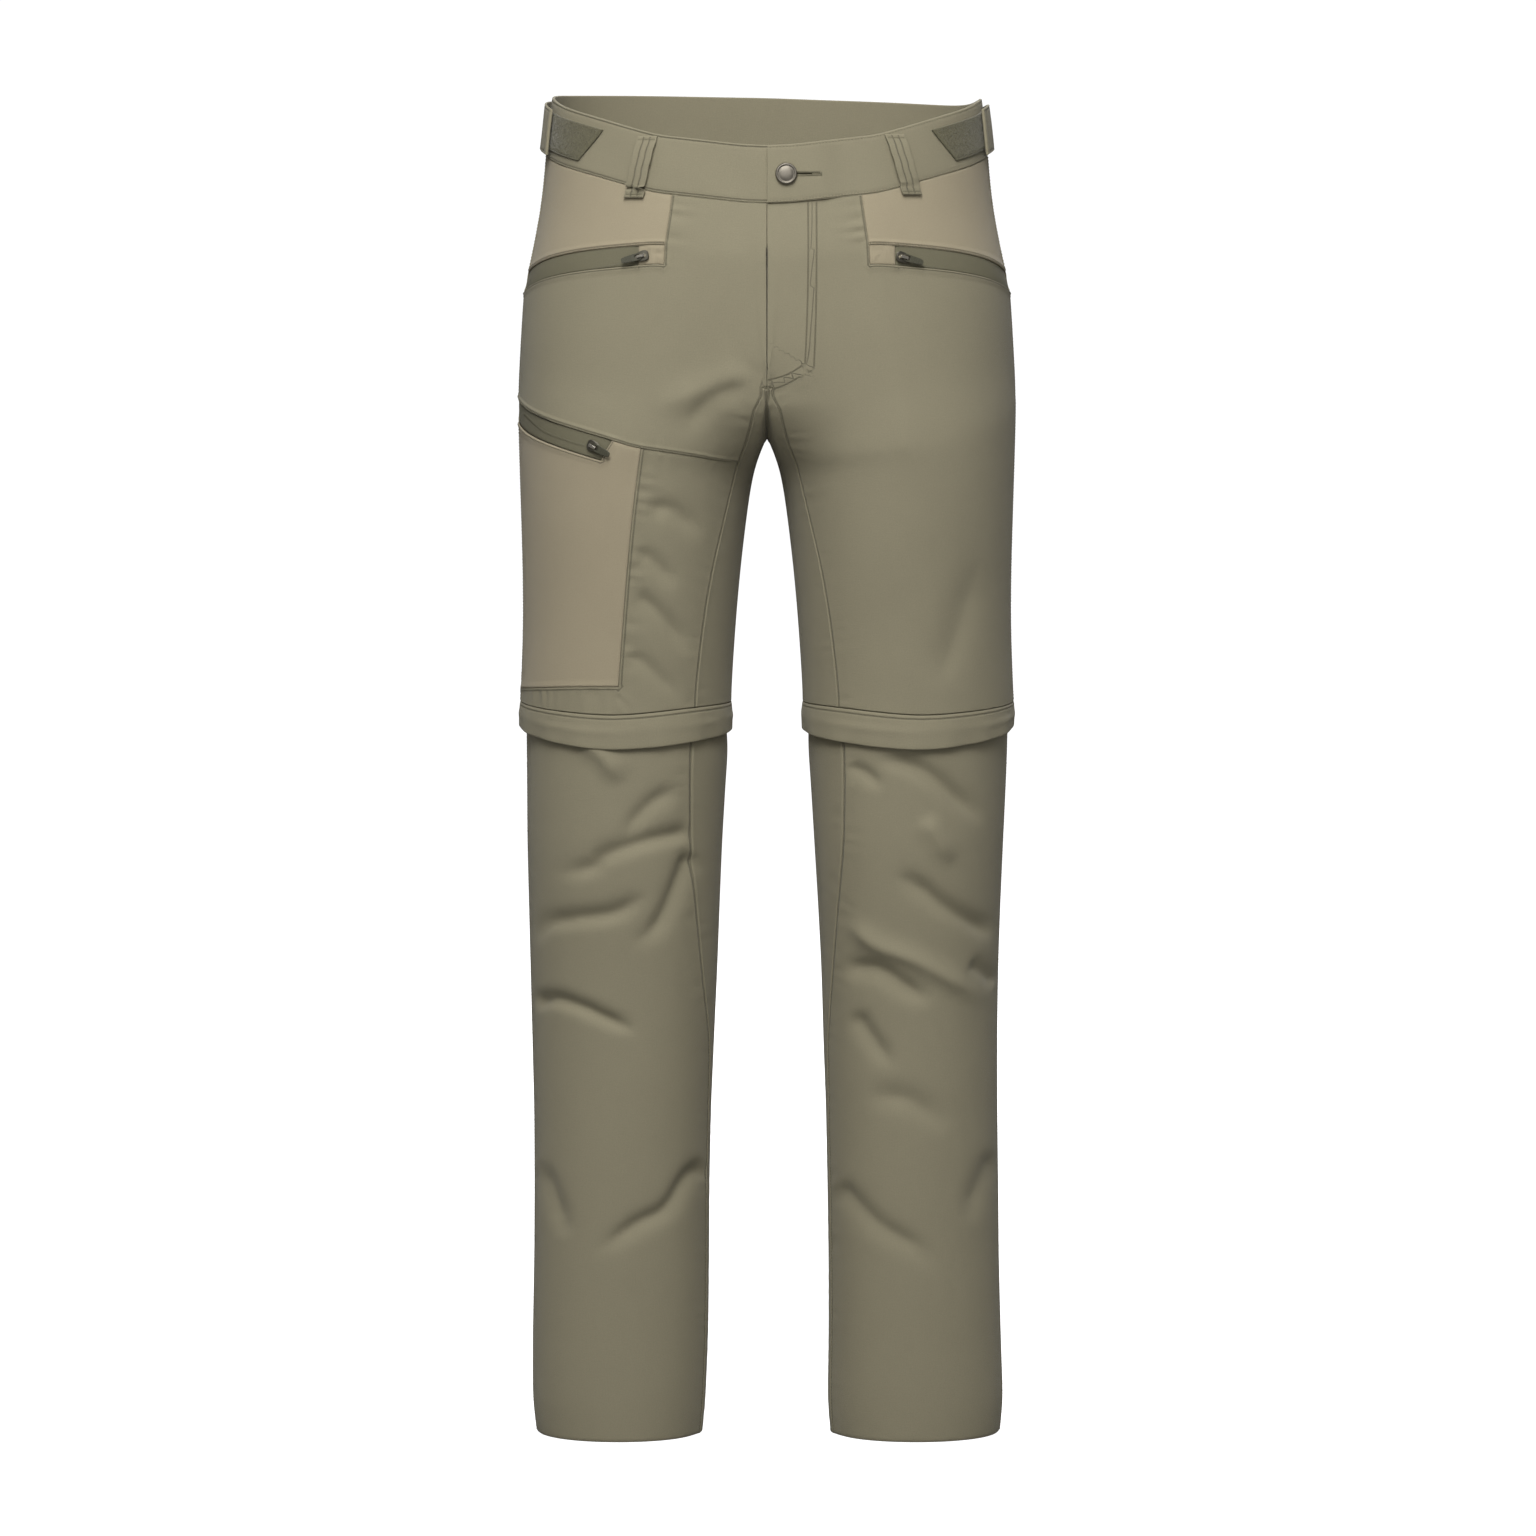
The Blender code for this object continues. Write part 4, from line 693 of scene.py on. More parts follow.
def pucker_wave(along, seed):
    """An uneven ripple along a seam."""
    phase = 1.7 * np.sin(along / (11.3 * MM) + seed) + 0.9 * np.sin(along / (4.7 * MM) + 2.1 * seed)
    swell = 0.55 + 0.45 * np.sin(along / (8.9 * MM) + 1.3 * seed)
    return np.sin(along / (1.9 * MM) + phase) * swell


def kind_of(name):
    return name.replace("_left", "").replace("_right", "")


def finish_seams(points, normals, panels, seams, count):
    """Each panel's lift beside its seams, its rows of stitches as fields, and the rows as lines."""
    lifts = {name: np.zeros(count) for name in panels}
    fields = {name: {"row_a": np.full((count, 2), (FAR, 1.0))} for name in panels}
    rows = []
    shared = seams_of(panels, count)
    for number, ((name, other), edges) in enumerate(sorted(shared.items())):
        spec = seams.get((kind_of(name), kind_of(other)))
        if spec is None:
            continue
        used = np.unique(panels[name])
        for line in chains(edges):
            if len(line) < 3:
                continue
            places, inward, covered = line_frame(points, normals, line)
            reach = 26 * MM
            near = used[((points[used] > places.min(0) - reach) & (points[used] < places.max(0) + reach)).all(1)]
            beside, along, past = beside_line(points[near], places, inward, covered)
            beside = np.hypot(np.maximum(beside, 0), past)
            if spec.rise > 0:
                raised = 1 - smoothstep((beside - spec.width * MM) / (2.2 * MM))
            else:
                raised = 1 - smoothstep(beside / (3.2 * MM))
            wave = pucker_wave(along, number) - 0.35
            scaled = beside / (spec.reach * MM)
            ripple = spec.pucker * MM * wave * scaled * np.exp(1 - scaled) * (scaled < 6)
            lifts[name][near] += spec.rise * MM * raised + ripple
            if spec.row:
                value = beside - spec.row * MM
                field = fields[name]["row_a"]
                closer = beside < field[near, 0] + spec.row * MM
                field[near[closer], 0] = value[closer]
                rows.append((name, places + inward * spec.row * MM, spec))
    return lifts, fields, rows


# Stitches

Stitch = namedtuple("Stitch", "pitch length radius")
TOPSTITCH = Stitch(2.6 * MM, 1.9 * MM, 0.3 * MM)
LOOP_STITCH = Stitch(2.9 * MM, 2.2 * MM, 0.26 * MM)
BARTACK = Stitch(0.62 * MM, 1.9 * MM, 0.27 * MM)
# Along a stitch: the share of its length and its rise. It ends in a point at both ends
STITCH_TIP, STITCH_RING = (0.5, -0.28 * MM), (0.3, 0.08 * MM)
STITCH_SIDES = 3


def threads(name, centres, along, normals, stitch, finish):
    """Many stitches as one mesh, each a short bowed thread."""
    side = unit(np.cross(normals, along))
    turns = math.pi / 2 + np.arange(STITCH_SIDES) * 2 * math.pi / STITCH_SIDES
    points = [centres - along * STITCH_TIP[0] * stitch.length + normals * STITCH_TIP[1]]
    for way in (-1, 1):
        middle = centres + along * way * STITCH_RING[0] * stitch.length + normals * STITCH_RING[1]
        for turn in turns:
            points.append(middle + (normals * math.sin(turn) + side * math.cos(turn)) * stitch.radius)
    points.append(centres + along * STITCH_TIP[0] * stitch.length + normals * STITCH_TIP[1])
    pattern = []
    for i in range(STITCH_SIDES):
        a, b = 1 + i, 1 + (i + 1) % STITCH_SIDES
        c, d = a + STITCH_SIDES, b + STITCH_SIDES
        pattern += [(0, b, a), (a, b, d), (a, d, c), (c, d, 7)]
    points = np.stack(points, axis=1)
    start = np.arange(len(centres))[:, None, None] * points.shape[1]
    faces = (np.array(pattern)[None] + start).reshape(-1, 3)
    made = quad_object(name, points.reshape(-1, 3), faces, None, finish)
    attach(made, "garment")
    return made


def even_steps(line, pitch):
    """Points along a line, pitch apart, and the way ahead at each."""
    line = np.asarray(line, float)
    covered = np.concatenate([[0], np.cumsum(np.linalg.norm(np.diff(line, axis=0), axis=1))])
    count = max(1, round(covered[-1] / pitch))
    at = (np.arange(count) + 0.5) * covered[-1] / count
    places = np.stack([np.interp(at, covered, line[:, i]) for i in range(3)], axis=1)
    ahead = np.stack([np.interp(at + pitch / 4, covered, line[:, i]) for i in range(3)], axis=1)
    behind = np.stack([np.interp(at - pitch / 4, covered, line[:, i]) for i in range(3)], axis=1)
    return places, unit(ahead - behind)


def snapped(tree, places):
    """Places moved onto a surface, and its normals there."""
    found = [tree.find_nearest(Vector(p)) for p in places]
    return np.array([f[0] for f in found]), np.array([f[1] for f in found])


def sew(name, lines, tree, finish, stitch=TOPSTITCH, across=False):
    """Rows of stitches along lines on a surface. across turns each stitch to lie across its line."""
    steps = [even_steps(line, stitch.pitch) for line in lines]
    places, along = (np.vstack([step[i] for step in steps]) for i in (0, 1))
    places, normals = snapped(tree, places)
    along = unit(along - normals * (along * normals).sum(axis=1, keepdims=True))
    if across:
        along = np.cross(normals, along)
    return threads(name, places, along, normals, stitch, finish)


def outer_tree(pieces):
    """The outer faces of shells, for what lies on them."""
    points, faces = [], []
    for piece in pieces:
        start = len(points)
        mesh = piece.data
        outer = piece["outer_faces"]
        points += [v.co.copy() for v in mesh.vertices]
        faces += [[start + v for v in mesh.polygons[i].vertices] for i in range(outer)]
    return BVHTree.FromPolygons(points, faces)


def tree_of(points, quads):
    return BVHTree.FromPolygons([Vector(p) for p in points], quads.tolist())


def cast_picture(tree, path, step=1.5):
    """A picture path as a line on the surface that shows there."""
    camera, up, ahead = picture_axes()
    line = []
    for px, py in curve_through(path, step):
        across = np.array((1.0, 0, 0)) * (px - MIDDLE_Y) + up * (MIDDLE_Y - py)
        way = ahead * VIEW_FROM + across * METRES_PER_PIXEL
        hit = tree.ray_cast(Vector(camera), Vector(unit(way)))
        if hit[0] is not None and hit[1].dot(Vector(way)) < 0:
            line.append(hit[0])
    return np.array(line)


# Materials


class Nodes:
    """A material's node tree, with short ways to add to it."""

    def __init__(self, name, roughness, metallic=0.0, **settings):
        self.material = bpy.data.materials.new(name)
        self.material.use_nodes = True
        self.tree = self.material.node_tree
        self.shader = self.tree.nodes["Principled BSDF"]
        self.shader.inputs["Roughness"].default_value = roughness
        self.shader.inputs["Metallic"].default_value = metallic
        for socket, value in settings.items():
            self.shader.inputs[socket.replace("_", " ")].default_value = value

    def add(self, kind, **settings):
        node = self.tree.nodes.new(kind)
        for key, value in settings.items():
            setattr(node, key, value)
        return node

    def put(self, socket, value):
        if isinstance(value, (int, float, tuple)):
            socket.default_value = value
        else:
            self.tree.links.new(value, socket)

    def math(self, operation, *values):
        node = self.add("ShaderNodeMath", operation=operation)
        for socket, value in zip(node.inputs, values):
            self.put(socket, value)
        return node.outputs[0]

    def noise(self, vector, scale, detail=2.0, stretch=(1, 1, 1)):
        place = self.add("ShaderNodeMapping")
        self.put(place.inputs["Vector"], vector)
        place.inputs["Scale"].default_value = stretch
        node = self.add("ShaderNodeTexNoise")
        self.put(node.inputs["Vector"], place.outputs[0])
        node.inputs["Scale"].default_value = scale
        node.inputs["Detail"].default_value = detail
        return node.outputs["Fac"]

    def scaled(self, value, low, high):
        """value from 0 to 1, as a factor from low to high."""
        return self.math("MULTIPLY_ADD", value, high - low, low)

    def colour(self, colour, *factors):
        """A colour times each of the factors."""
        shade = factors[0]
        for factor in factors[1:]:
            shade = self.math("MULTIPLY", shade, factor)
        node = self.add("ShaderNodeVectorMath", operation="SCALE")
        node.inputs[0].default_value = colour
        self.put(node.inputs["Scale"], shade)
        self.put(self.shader.inputs["Base Color"], node.outputs[0])

    def bump(self, height, distance, below=None):
        node = self.add("ShaderNodeBump")
        node.inputs["Distance"].default_value = distance
        self.put(node.inputs["Height"], height)
        if below is not None:
            self.put(node.inputs["Normal"], below)
        self.put(self.shader.inputs["Normal"], node.outputs[0])
        return node.outputs[0]


def row_groove(nodes, channel):
    """1 along a row of stitches, fading to 0 beside it, for the groove's bump and the painted shade in it."""
    source = nodes.add("ShaderNodeAttribute", attribute_name=channel)
    parts = nodes.add("ShaderNodeSeparateXYZ")
    nodes.put(parts.inputs[0], source.outputs["Vector"])
    ramp = nodes.add("ShaderNodeMapRange", interpolation_type="SMOOTHSTEP")
    nodes.put(ramp.inputs["Value"], nodes.math("ABSOLUTE", parts.outputs[0]))
    for socket, value in (("From Min", 0.15 * MM), ("From Max", 1.0 * MM), ("To Min", 1.0), ("To Max", 0.0)):
        ramp.inputs[socket].default_value = value
    return nodes.math("MULTIPLY", ramp.outputs[0], parts.outputs[1])


def cloth_material(name, colour, pitch, roughness, sheen, grain=0.05, slub=0.05):
    """Woven cloth: threads both ways, slubs along them, a fine grain and rows of stitches pulled in, darkened along
    them partly as the thread's colour and partly as painted shade in their grooves.
    """
    nodes = Nodes(name, roughness, Sheen_Weight=sheen, Sheen_Roughness=0.45, Specular_IOR_Level=0.25)
    at = nodes.add("ShaderNodeUVMap", uv_map=WEAVE).outputs[0]
    parts = nodes.add("ShaderNodeSeparateXYZ")
    nodes.put(parts.inputs[0], at)
    turn = 2 * math.pi / pitch
    warp = nodes.math("SINE", nodes.math("MULTIPLY", parts.outputs[0], turn))
    weft = nodes.math("SINE", nodes.math("MULTIPLY", parts.outputs[1], turn))
    weave = nodes.math("MULTIPLY", warp, weft)
    streaks = nodes.noise(at, 1 / (9 * MM), 2, (26, 1, 1))
    picks = nodes.noise(at, 1 / (9 * MM), 2, (1, 26, 1))
    fine = nodes.noise(at, 1 / (1.1 * MM), 3)
    broad = nodes.noise(at, 1 / (55 * MM), 2)
    # groove darkens the colour along rows of stitches: partly the thread's colour, partly painted shade in the groove
    groove = nodes.math("MAXIMUM", row_groove(nodes, "row_a"), row_groove(nodes, "row_b"))
    nodes.colour(
        colour,
        nodes.scaled(weave, 1, 1.05),
        nodes.scaled(streaks, 1 - slub, 1 + slub),
        nodes.scaled(picks, 1 - slub, 1 + slub),
        nodes.scaled(fine, 1 - 2 * grain, 1 + 2 * grain),
        nodes.scaled(broad, 0.96, 1.04),
        nodes.scaled(groove, 1.0, 0.66),
    )
    pressed = nodes.bump(nodes.math("MULTIPLY", groove, -1.0), 0.35 * MM)
    threads_up = nodes.math("MULTIPLY_ADD", weave, 0.35, nodes.math("ADD", streaks, picks))
    nodes.bump(nodes.math("MULTIPLY_ADD", fine, 0.8, threads_up), 0.12 * MM, pressed)
    return nodes.material


def pile_material(name, colour):
    """The soft side of a touch fastener, its colour mottled with painted highlights and shade where its loops catch
    light.
    """
    nodes = Nodes(name, 0.95, Sheen_Weight=0.3, Specular_IOR_Level=0.2)
    at = nodes.add("ShaderNodeTexCoord").outputs["Object"]
    fine, coarse = nodes.noise(at, 1 / (0.7 * MM), 3), nodes.noise(at, 1 / (2.2 * MM), 2)
    # the mottle is painted highlights and shade of the loops
    nodes.colour(colour, nodes.scaled(fine, 0.45, 1.55), nodes.scaled(coarse, 0.8, 1.2))
    nodes.bump(fine, 0.5 * MM)
    return nodes.material


def thread_material(name, colour):
    nodes = Nodes(name, 0.6, Specular_IOR_Level=0.35)
    at = nodes.add("ShaderNodeTexCoord").outputs["Object"]
    nodes.colour(colour, nodes.scaled(nodes.noise(at, 1 / (0.4 * MM)), 0.8, 1.2))
    return nodes.material


def metal_material(name, colour, roughness, patina):
    """Plated metal with dull spots and a tone that varies in patches, both at random."""
    nodes = Nodes(name, roughness, 1.0)
    at = nodes.add("ShaderNodeTexCoord").outputs["Object"]
    worn, fine = nodes.noise(at, 1 / (3.1 * MM), 4), nodes.noise(at, 1 / (0.5 * MM), 2)
    nodes.colour(colour, nodes.scaled(worn, 1 - patina, 1 + patina))
    nodes.put(nodes.shader.inputs["Roughness"], nodes.scaled(worn, roughness * 0.7, roughness * 1.35))
    nodes.bump(fine, 0.03 * MM)
    return nodes.material


def plastic_material(name, colour, roughness):
    nodes = Nodes(name, roughness)
    at = nodes.add("ShaderNodeTexCoord").outputs["Object"]
    fine = nodes.noise(at, 1 / (0.45 * MM), 3)
    nodes.colour(colour, nodes.scaled(fine, 0.85, 1.15))
    nodes.bump(fine, 0.04 * MM)
    return nodes.material


def make_finishes():
    olive, beige = (0.262, 0.236, 0.158), (0.355, 0.304, 0.206)
    return {
        "cloth": cloth_material("olive_cloth_look", olive, 0.52 * MM, 0.78, 0.12),
        "stretch": cloth_material("stretch_cloth_look", beige, 0.4 * MM, 0.82, 0.15, 0.035, 0.03),
        "tape": cloth_material("zip_tape_look", (0.16, 0.148, 0.095), 0.7 * MM, 0.7, 0.05, 0.06, 0.04),
        "pile": pile_material("loop_pile_look", (0.125, 0.115, 0.068)),
        "thread": thread_material("thread_look", (0.17, 0.155, 0.1)),
        "coil": plastic_material("zip_coil_look", (0.12, 0.112, 0.072), 0.45),
        "button": metal_material("button_metal_look", (0.2, 0.182, 0.15), 0.5, 0.3),
        "slider": metal_material("slider_metal_look", (0.16, 0.15, 0.12), 0.4, 0.2),
        "bright": metal_material("bridge_metal_look", (0.62, 0.58, 0.5), 0.25, 0.1),
        "pull": plastic_material("pull_plastic_look", (0.062, 0.06, 0.038), 0.5),
    }


# Body panels


def body_panel(side, row, column):
    """The name of the panel that a cell of the body's cage belongs to."""
    tag = "left" if side > 0 else "right"
    if column >= SIDE or (column < SEAM and row >= FLY_FOOT):
        return f"back_thigh_{tag}"
    if row < HAND_TOP and column >= MID:
        return f"hip_yoke_{tag}"
    if row == HAND_TOP and column >= ZIP_END:
        return f"hand_zip_tape_{tag}"
    if row == HAND_TOP and column == MID:
        return f"hand_zip_garage_{tag}"
    if side > 0 or row < THIGH_SEAM:
        return f"front_thigh_{tag}"
    if row == THIGH_SEAM and column >= ZIP_END:
        return "cargo_zip_tape"
    if column >= MID and row < POCKET_FOOT:
        return "cargo_pocket"
    return "front_lower_thigh_right"


def fly_lift(points):
    """The left front lies over the right one along the fly."""
    above = smoothstep((points[:, 2] + 0.2) / 0.02)
    return 1.3 * MM * above * (1 - smoothstep((points[:, 0] - 0.03) / 0.02))


def add_sewn_lines(points, normals, panels, fields):
    """The rows that cross a panel: their fields, and their lines on the form."""
    lines = []
    for name, path in SEWN:
        used = np.unique(panels[name])
        line = cast_picture(tree_of(points, panels[name]), path)
        if len(line) < 3:
            continue
        _, up = snapped(tree_of(points, panels[name]), line)
        ahead = unit(np.gradient(line, axis=0))
        covered = np.concatenate([[0], np.cumsum(np.linalg.norm(np.diff(line, axis=0), axis=1))])
        beside, _, past = beside_line(points[used], line, unit(np.cross(up, ahead)), covered)
        field = fields[name].setdefault("row_b", np.full((len(points), 2), (FAR, 1.0)))
        closer = np.hypot(beside, past) < np.abs(field[used, 0])
        on = 1 - smoothstep(past / (1.5 * MM))
        field[used[closer]] = np.stack([beside, on], axis=1)[closer]
        lines.append(line)
    return lines


def make_body(finishes):
    cage, cells, weave, places = body_cage()
    points, quads, uv, cell_of = smooth_form(cage, cells, weave, BODY_LEVELS)
    points, normals = creased(drawn_together(points), quads)
    names = np.array([body_panel(*place) for place in places])[cell_of]
    panels = {name: quads[names == name] for name in sorted(set(names))}
    lifts, fields, rows = finish_seams(points, normals, panels, BODY_SEAMS, len(points))
    sewn = add_sewn_lines(points, normals, panels, fields)
    lifts["front_thigh_left"] += fly_lift(points)
    pieces = []
    for name, own in panels.items():
        finish = finishes[FINISH_OF.get(kind_of(name), "cloth")]
        lift = lifts[name] - (ZIP_RECESS if "zip_tape" in name else 0.0)
        made = shell(f"cloth_{name}", points, normals, own, uv[names == name], finish, lift, rows=fields[name])
        dress(made, name)
        pieces.append(made)
    tree = outer_tree(pieces)
    sew("stitches_body_seams", [line for _, line, _ in rows], tree, finishes["thread"])
    sew("stitches_fly_and_thigh", sewn, tree, finishes["thread"])
    tapes = {piece.name: outer_tree([piece]) for piece in pieces if "zip_tape" in piece.name}
    for name, path in COILS.items():
        tape = tapes[f"cloth_{name}"]
        make_coil(f"zip_coil_{name}", cast_picture(tape, path), tape, finishes["coil"])
    return points, quads, pieces


def make_shin(tag, side, finishes):
    cage, cells, weave, places = shin_cage(tag, side)
    points, quads, uv, cell_of = smooth_form(cage, cells, weave, SHIN_LEVELS)
    points, normals = creased(points, quads)
    columns = np.array([place[2] for place in places])[cell_of]
    front = (columns >= SHIN_SEAM) & (columns < SHIN_SIDE)
    panels = {f"front_shin_{tag}": quads[front], f"back_shin_{tag}": quads[~front]}
    lifts, fields, rows = finish_seams(points, normals, panels, SHIN_SEAMS, len(points))
    pieces = []
    for name, own in panels.items():
        picked = front if name.startswith("front") else ~front
        made = shell(f"cloth_{name}", points, normals, own, uv[picked], finishes["cloth"], lifts[name],
                     rows=fields[name])
        dress(made, name)
        pieces.append(made)
    tree = outer_tree(pieces)
    sew(f"stitches_shin_{tag}", [line for _, line, _ in rows], tree, finishes["thread"])


def dress(made, node, body="garment"):
    """The piece stands for a CAD node and rides where it does. For cloth, the cut that its weave lies on is worked
    out, and nothing uses it.
    """
    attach(made, body)
    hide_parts(node)
    if made.name.startswith("cloth_"):
        width, length, area = cut_of(made)


def cut_of(made):
    """The flat width, length and area that a piece's weave lies on."""
    corners = np.zeros(len(made.data.loops) * 2, np.float32)
    made.data.uv_layers[WEAVE].data.foreach_get("uv", corners)
    corners = corners.reshape(-1, 4, 2)[: made["outer_faces"]].astype(float)
    if made.get("both_sides"):
        corners = corners * (1, 0.5)
    low, high = corners.reshape(-1, 2).min(axis=0), corners.reshape(-1, 2).max(axis=0)
    across, along = corners[:, 2] - corners[:, 0], corners[:, 3] - corners[:, 1]
    area = float(np.abs(across[:, 0] * along[:, 1] - across[:, 1] * along[:, 0]).sum() / 2)
    width, length = (float(v) for v in high - low)
    return width, length, min(max(area, 0.31 * width * length), width * length)


# Lofted pieces


def loft(name, rings, finish, closed=False, rows=(), row_reach=2.5 * MM):
    """A solid through rings of points, each going out over the piece's face and back behind it."""
    rings = np.asarray(rings, float)
    count, around = rings.shape[:2]
    number = np.arange(count * around).reshape(count, around)
    last = count if closed else count - 1
    here, there = number[:last], np.roll(number, -1, axis=0)[:last]
    faces = [np.stack([here, there, np.roll(there, -1, axis=1), np.roll(here, -1, axis=1)], axis=2)]
    along = np.linalg.norm(np.roll(rings, -1, axis=0) - rings, axis=2).mean(axis=1)
    u = np.concatenate([[0], np.cumsum(along)])
    steps = np.linalg.norm(np.roll(rings, -1, axis=1) - rings, axis=2).mean(axis=0)
    v = np.concatenate([[0], np.cumsum(steps)])
    u_here, v_here = np.meshgrid(u[:last], v[:around], indexing="ij")
    u_next, v_next = np.meshgrid(u[1 : last + 1], v[1:], indexing="ij")
    corners = [
        np.stack([
            np.stack([u_here, v_here], axis=2), np.stack([u_next, v_here], axis=2),
            np.stack([u_next, v_next], axis=2), np.stack([u_here, v_next], axis=2),
        ], axis=2)
    ]
    faces, corners = faces[0].reshape(-1, 4), corners[0].reshape(-1, 4, 2)
    if not closed:
        half = around // 2
        i = np.arange(half - 1)
        for ring, flip in ((number[0], False), (number[-1], True)):
            cap = np.stack([ring[i], ring[i + 1], ring[around - 2 - i], ring[around - 1 - i]], axis=1)
            cap = cap[:, ::-1] if flip else cap
            faces = np.vstack([faces, cap])
            flat = np.stack([v[cap % around], np.zeros(cap.shape)], axis=2)
            corners = np.vstack([corners, flat])
    points = rings.reshape(-1, 3)
    if turned_inward(points, faces):
        faces, corners = faces[:, ::-1], corners[:, ::-1]
    made = quad_object(name, points, faces, corners, finish)
    made["outer_faces"] = len(faces)
    made["both_sides"] = True
    mark_rows(made, points, rows, row_reach)
    return made


def turned_inward(points, faces):
    """Whether a closed solid's faces look inward, by the volume they hold."""
    p = points[faces] - points.mean(axis=0)
    volume = (np.cross(p[:, 0], p[:, 1]) * p[:, 2]).sum() + (np.cross(p[:, 0], p[:, 2]) * p[:, 3]).sum()
    return volume < 0


def mark_rows(made, points, rows, reach):
    """Write each point's distance from the nearest row of stitches, for the material's grooves and the painted shade
    in them.
    """
    data = np.zeros((len(points), 3), np.float32)
    data[:, 0] = FAR
    for line in rows:
        line = np.asarray(line)
        apart = np.linalg.norm(points[:, None, :] - line[None, :, :], axis=2).min(axis=1)
        data[:, 0] = np.minimum(data[:, 0], apart)
    data[:, 1] = data[:, 0] < reach
    made.data.attributes.new("row_a", "FLOAT_VECTOR", "POINT").data.foreach_set("vector", data.ravel())


def strap_profile(width, thick, grooves=(), fold=0.42, depth=0.22 * MM, steps=9):
    """Across a strap: (place across, depth), out over its face and back behind it. Rows are pulled in."""
    soft = min(thick * fold, width * 0.2)
    face = [(0, -0.38 * thick), (0.12 * soft, -0.16 * thick), (0.5 * soft, -0.04 * thick), (soft, 0)]
    inside = sorted({soft + (width - 2 * soft) * i / steps for i in range(1, steps)})
    inside = [x for x in inside if all(abs(x - g) > 0.9 * MM for g in grooves)]
    for groove in grooves:
        inside += [groove - 0.7 * MM, groove, groove + 0.7 * MM]
    face += [(x, -depth if x in grooves else 0) for x in sorted(inside) if soft < x < width - soft]
    face += [(width - x, d) for x, d in face[3::-1]]
    return face + [(x, -thick - d * (1 if d < -depth else 0)) for x, d in face[::-1]]


# Waistband

BAND, BAND_HEIGHT, BAND_TAPER, BAND_LIFT = 2.4 * MM, 45 * MM, 0.97, 0.8 * MM
UNDERLAP, OVERLAP_LIFT, OVERLAP_FADE = 36 * MM, 2.8 * MM, 24 * MM
BAND_ROWS = (1.5 * MM, BAND_HEIGHT - 1.7 * MM)


def border(points, quads, top):
    """The closed loops of a form's open edges, those at the waist or those at the knees."""
    ahead = {int(a): int(b) for a, b in open_edges(quads, len(points))}
    loops = []
    while ahead:
        start, v = next(iter(ahead.items()))
        loop = [start]
        del ahead[start]
        while v != start:
            loop.append(v)
            v = ahead.pop(v)
        loops.append(loop)
    return [loop for loop in loops if (points[loop][:, 2].mean() > -0.2) == top]


def outward(loop_points):
    """Level outward directions along a closed loop of points."""
    ahead = np.roll(loop_points, -1, axis=0) - np.roll(loop_points, 1, axis=0)
    across = unit(np.stack([ahead[:, 1], -ahead[:, 0], np.zeros(len(ahead))], axis=1))
    return across * np.sign((across * (loop_points - loop_points.mean(axis=0))).sum())


def turned_to_front(base):
    """The loop's points from the centre front, by way of the wearer's left, back to the centre front."""
    base = np.roll(base, -int(np.argmin(base[:, 1] + np.abs(base[:, 0]) * 4)), axis=0)
    return base if base[1][0] > 0 else np.roll(base[::-1], 1, axis=0)


def band_ripple(along, share, seed):
    """Soft unevenness of the band, and the puckers beside its rows of stitches."""
    soft = 0.35 * np.sin(along / (17 * MM) + seed + 1.8 * share) * np.sin(math.pi * share)
    tight = 0.16 * pucker_wave(along, seed) * (math.exp(-share / 0.09) + math.exp(-(1 - share) / 0.06))
    return (soft + tight) * MM


def make_waistband(points, quads, finishes):
    base = turned_to_front(points[border(points, quads, True)[0]])
    out = outward(base)
    count = len(base)
    covered = np.concatenate([[0], np.cumsum(np.linalg.norm(np.diff(base, axis=0), axis=1))])
    left_side, right_side = int(np.argmax(base[:, 0])), int(np.argmin(base[:, 0]))
    under = int(np.argmin(np.abs(base[: count // 4, 0] - UNDERLAP)))
    spans = {
        "waistband_front_left": np.arange(0, left_side + 1),
        "waistband_back": np.arange(left_side, right_side + 1),
        "waistband_front_right": np.concatenate([np.arange(right_side, count), np.arange(0, under + 1)]),
    }
    profile = strap_profile(BAND_HEIGHT, BAND, BAND_ROWS, fold=0.5, steps=12)
    made, rows = {}, []
    for seed, (name, picks) in enumerate(spans.items()):
        x = base[picks, 0]
        lift = np.full(len(picks), BAND_LIFT)
        if name == "waistband_front_left":
            lift = lift + OVERLAP_LIFT * (1 - smoothstep((x - UNDERLAP - 3 * MM) / OVERLAP_FADE))
        p, o = base[picks].copy(), out[picks]
        for end, nearby in ((0, 1), (-1, -2)):
            p[end] += (p[nearby] - p[end]) * min(0.45, SEAM_GAP / 2 / np.linalg.norm(p[nearby] - p[end]))
        rings = []
        for up, depth in profile:
            share = up / BAND_HEIGHT
            narrow = np.array((1 + (BAND_TAPER - 1) * share,) * 2 + (1,))
            away = lift + depth + band_ripple(covered[picks], share, seed) * (depth > -BAND / 2)
            rings.append(p * narrow + (0, 0, SEAM_GAP + up) + o * away[:, None])
        rings = np.stack(rings, axis=1)
        lines = [rings[:, [d[0] for d in profile].index(row)] for row in BAND_ROWS]
        made[name] = loft(f"cloth_{name}", rings, finishes["cloth"], rows=lines)
        dress(made[name], name)
        rows += [line[2:-2] for line in lines]
    return made, base, rows


# Where a ray slips through a seam, the places near it that are tried, as degrees and metres
SEAM_STEPS = [(a, h * MM) for h in (0, 0.8, -0.8, 1.5, -1.5) for a in (0, 0.4, -0.4)]


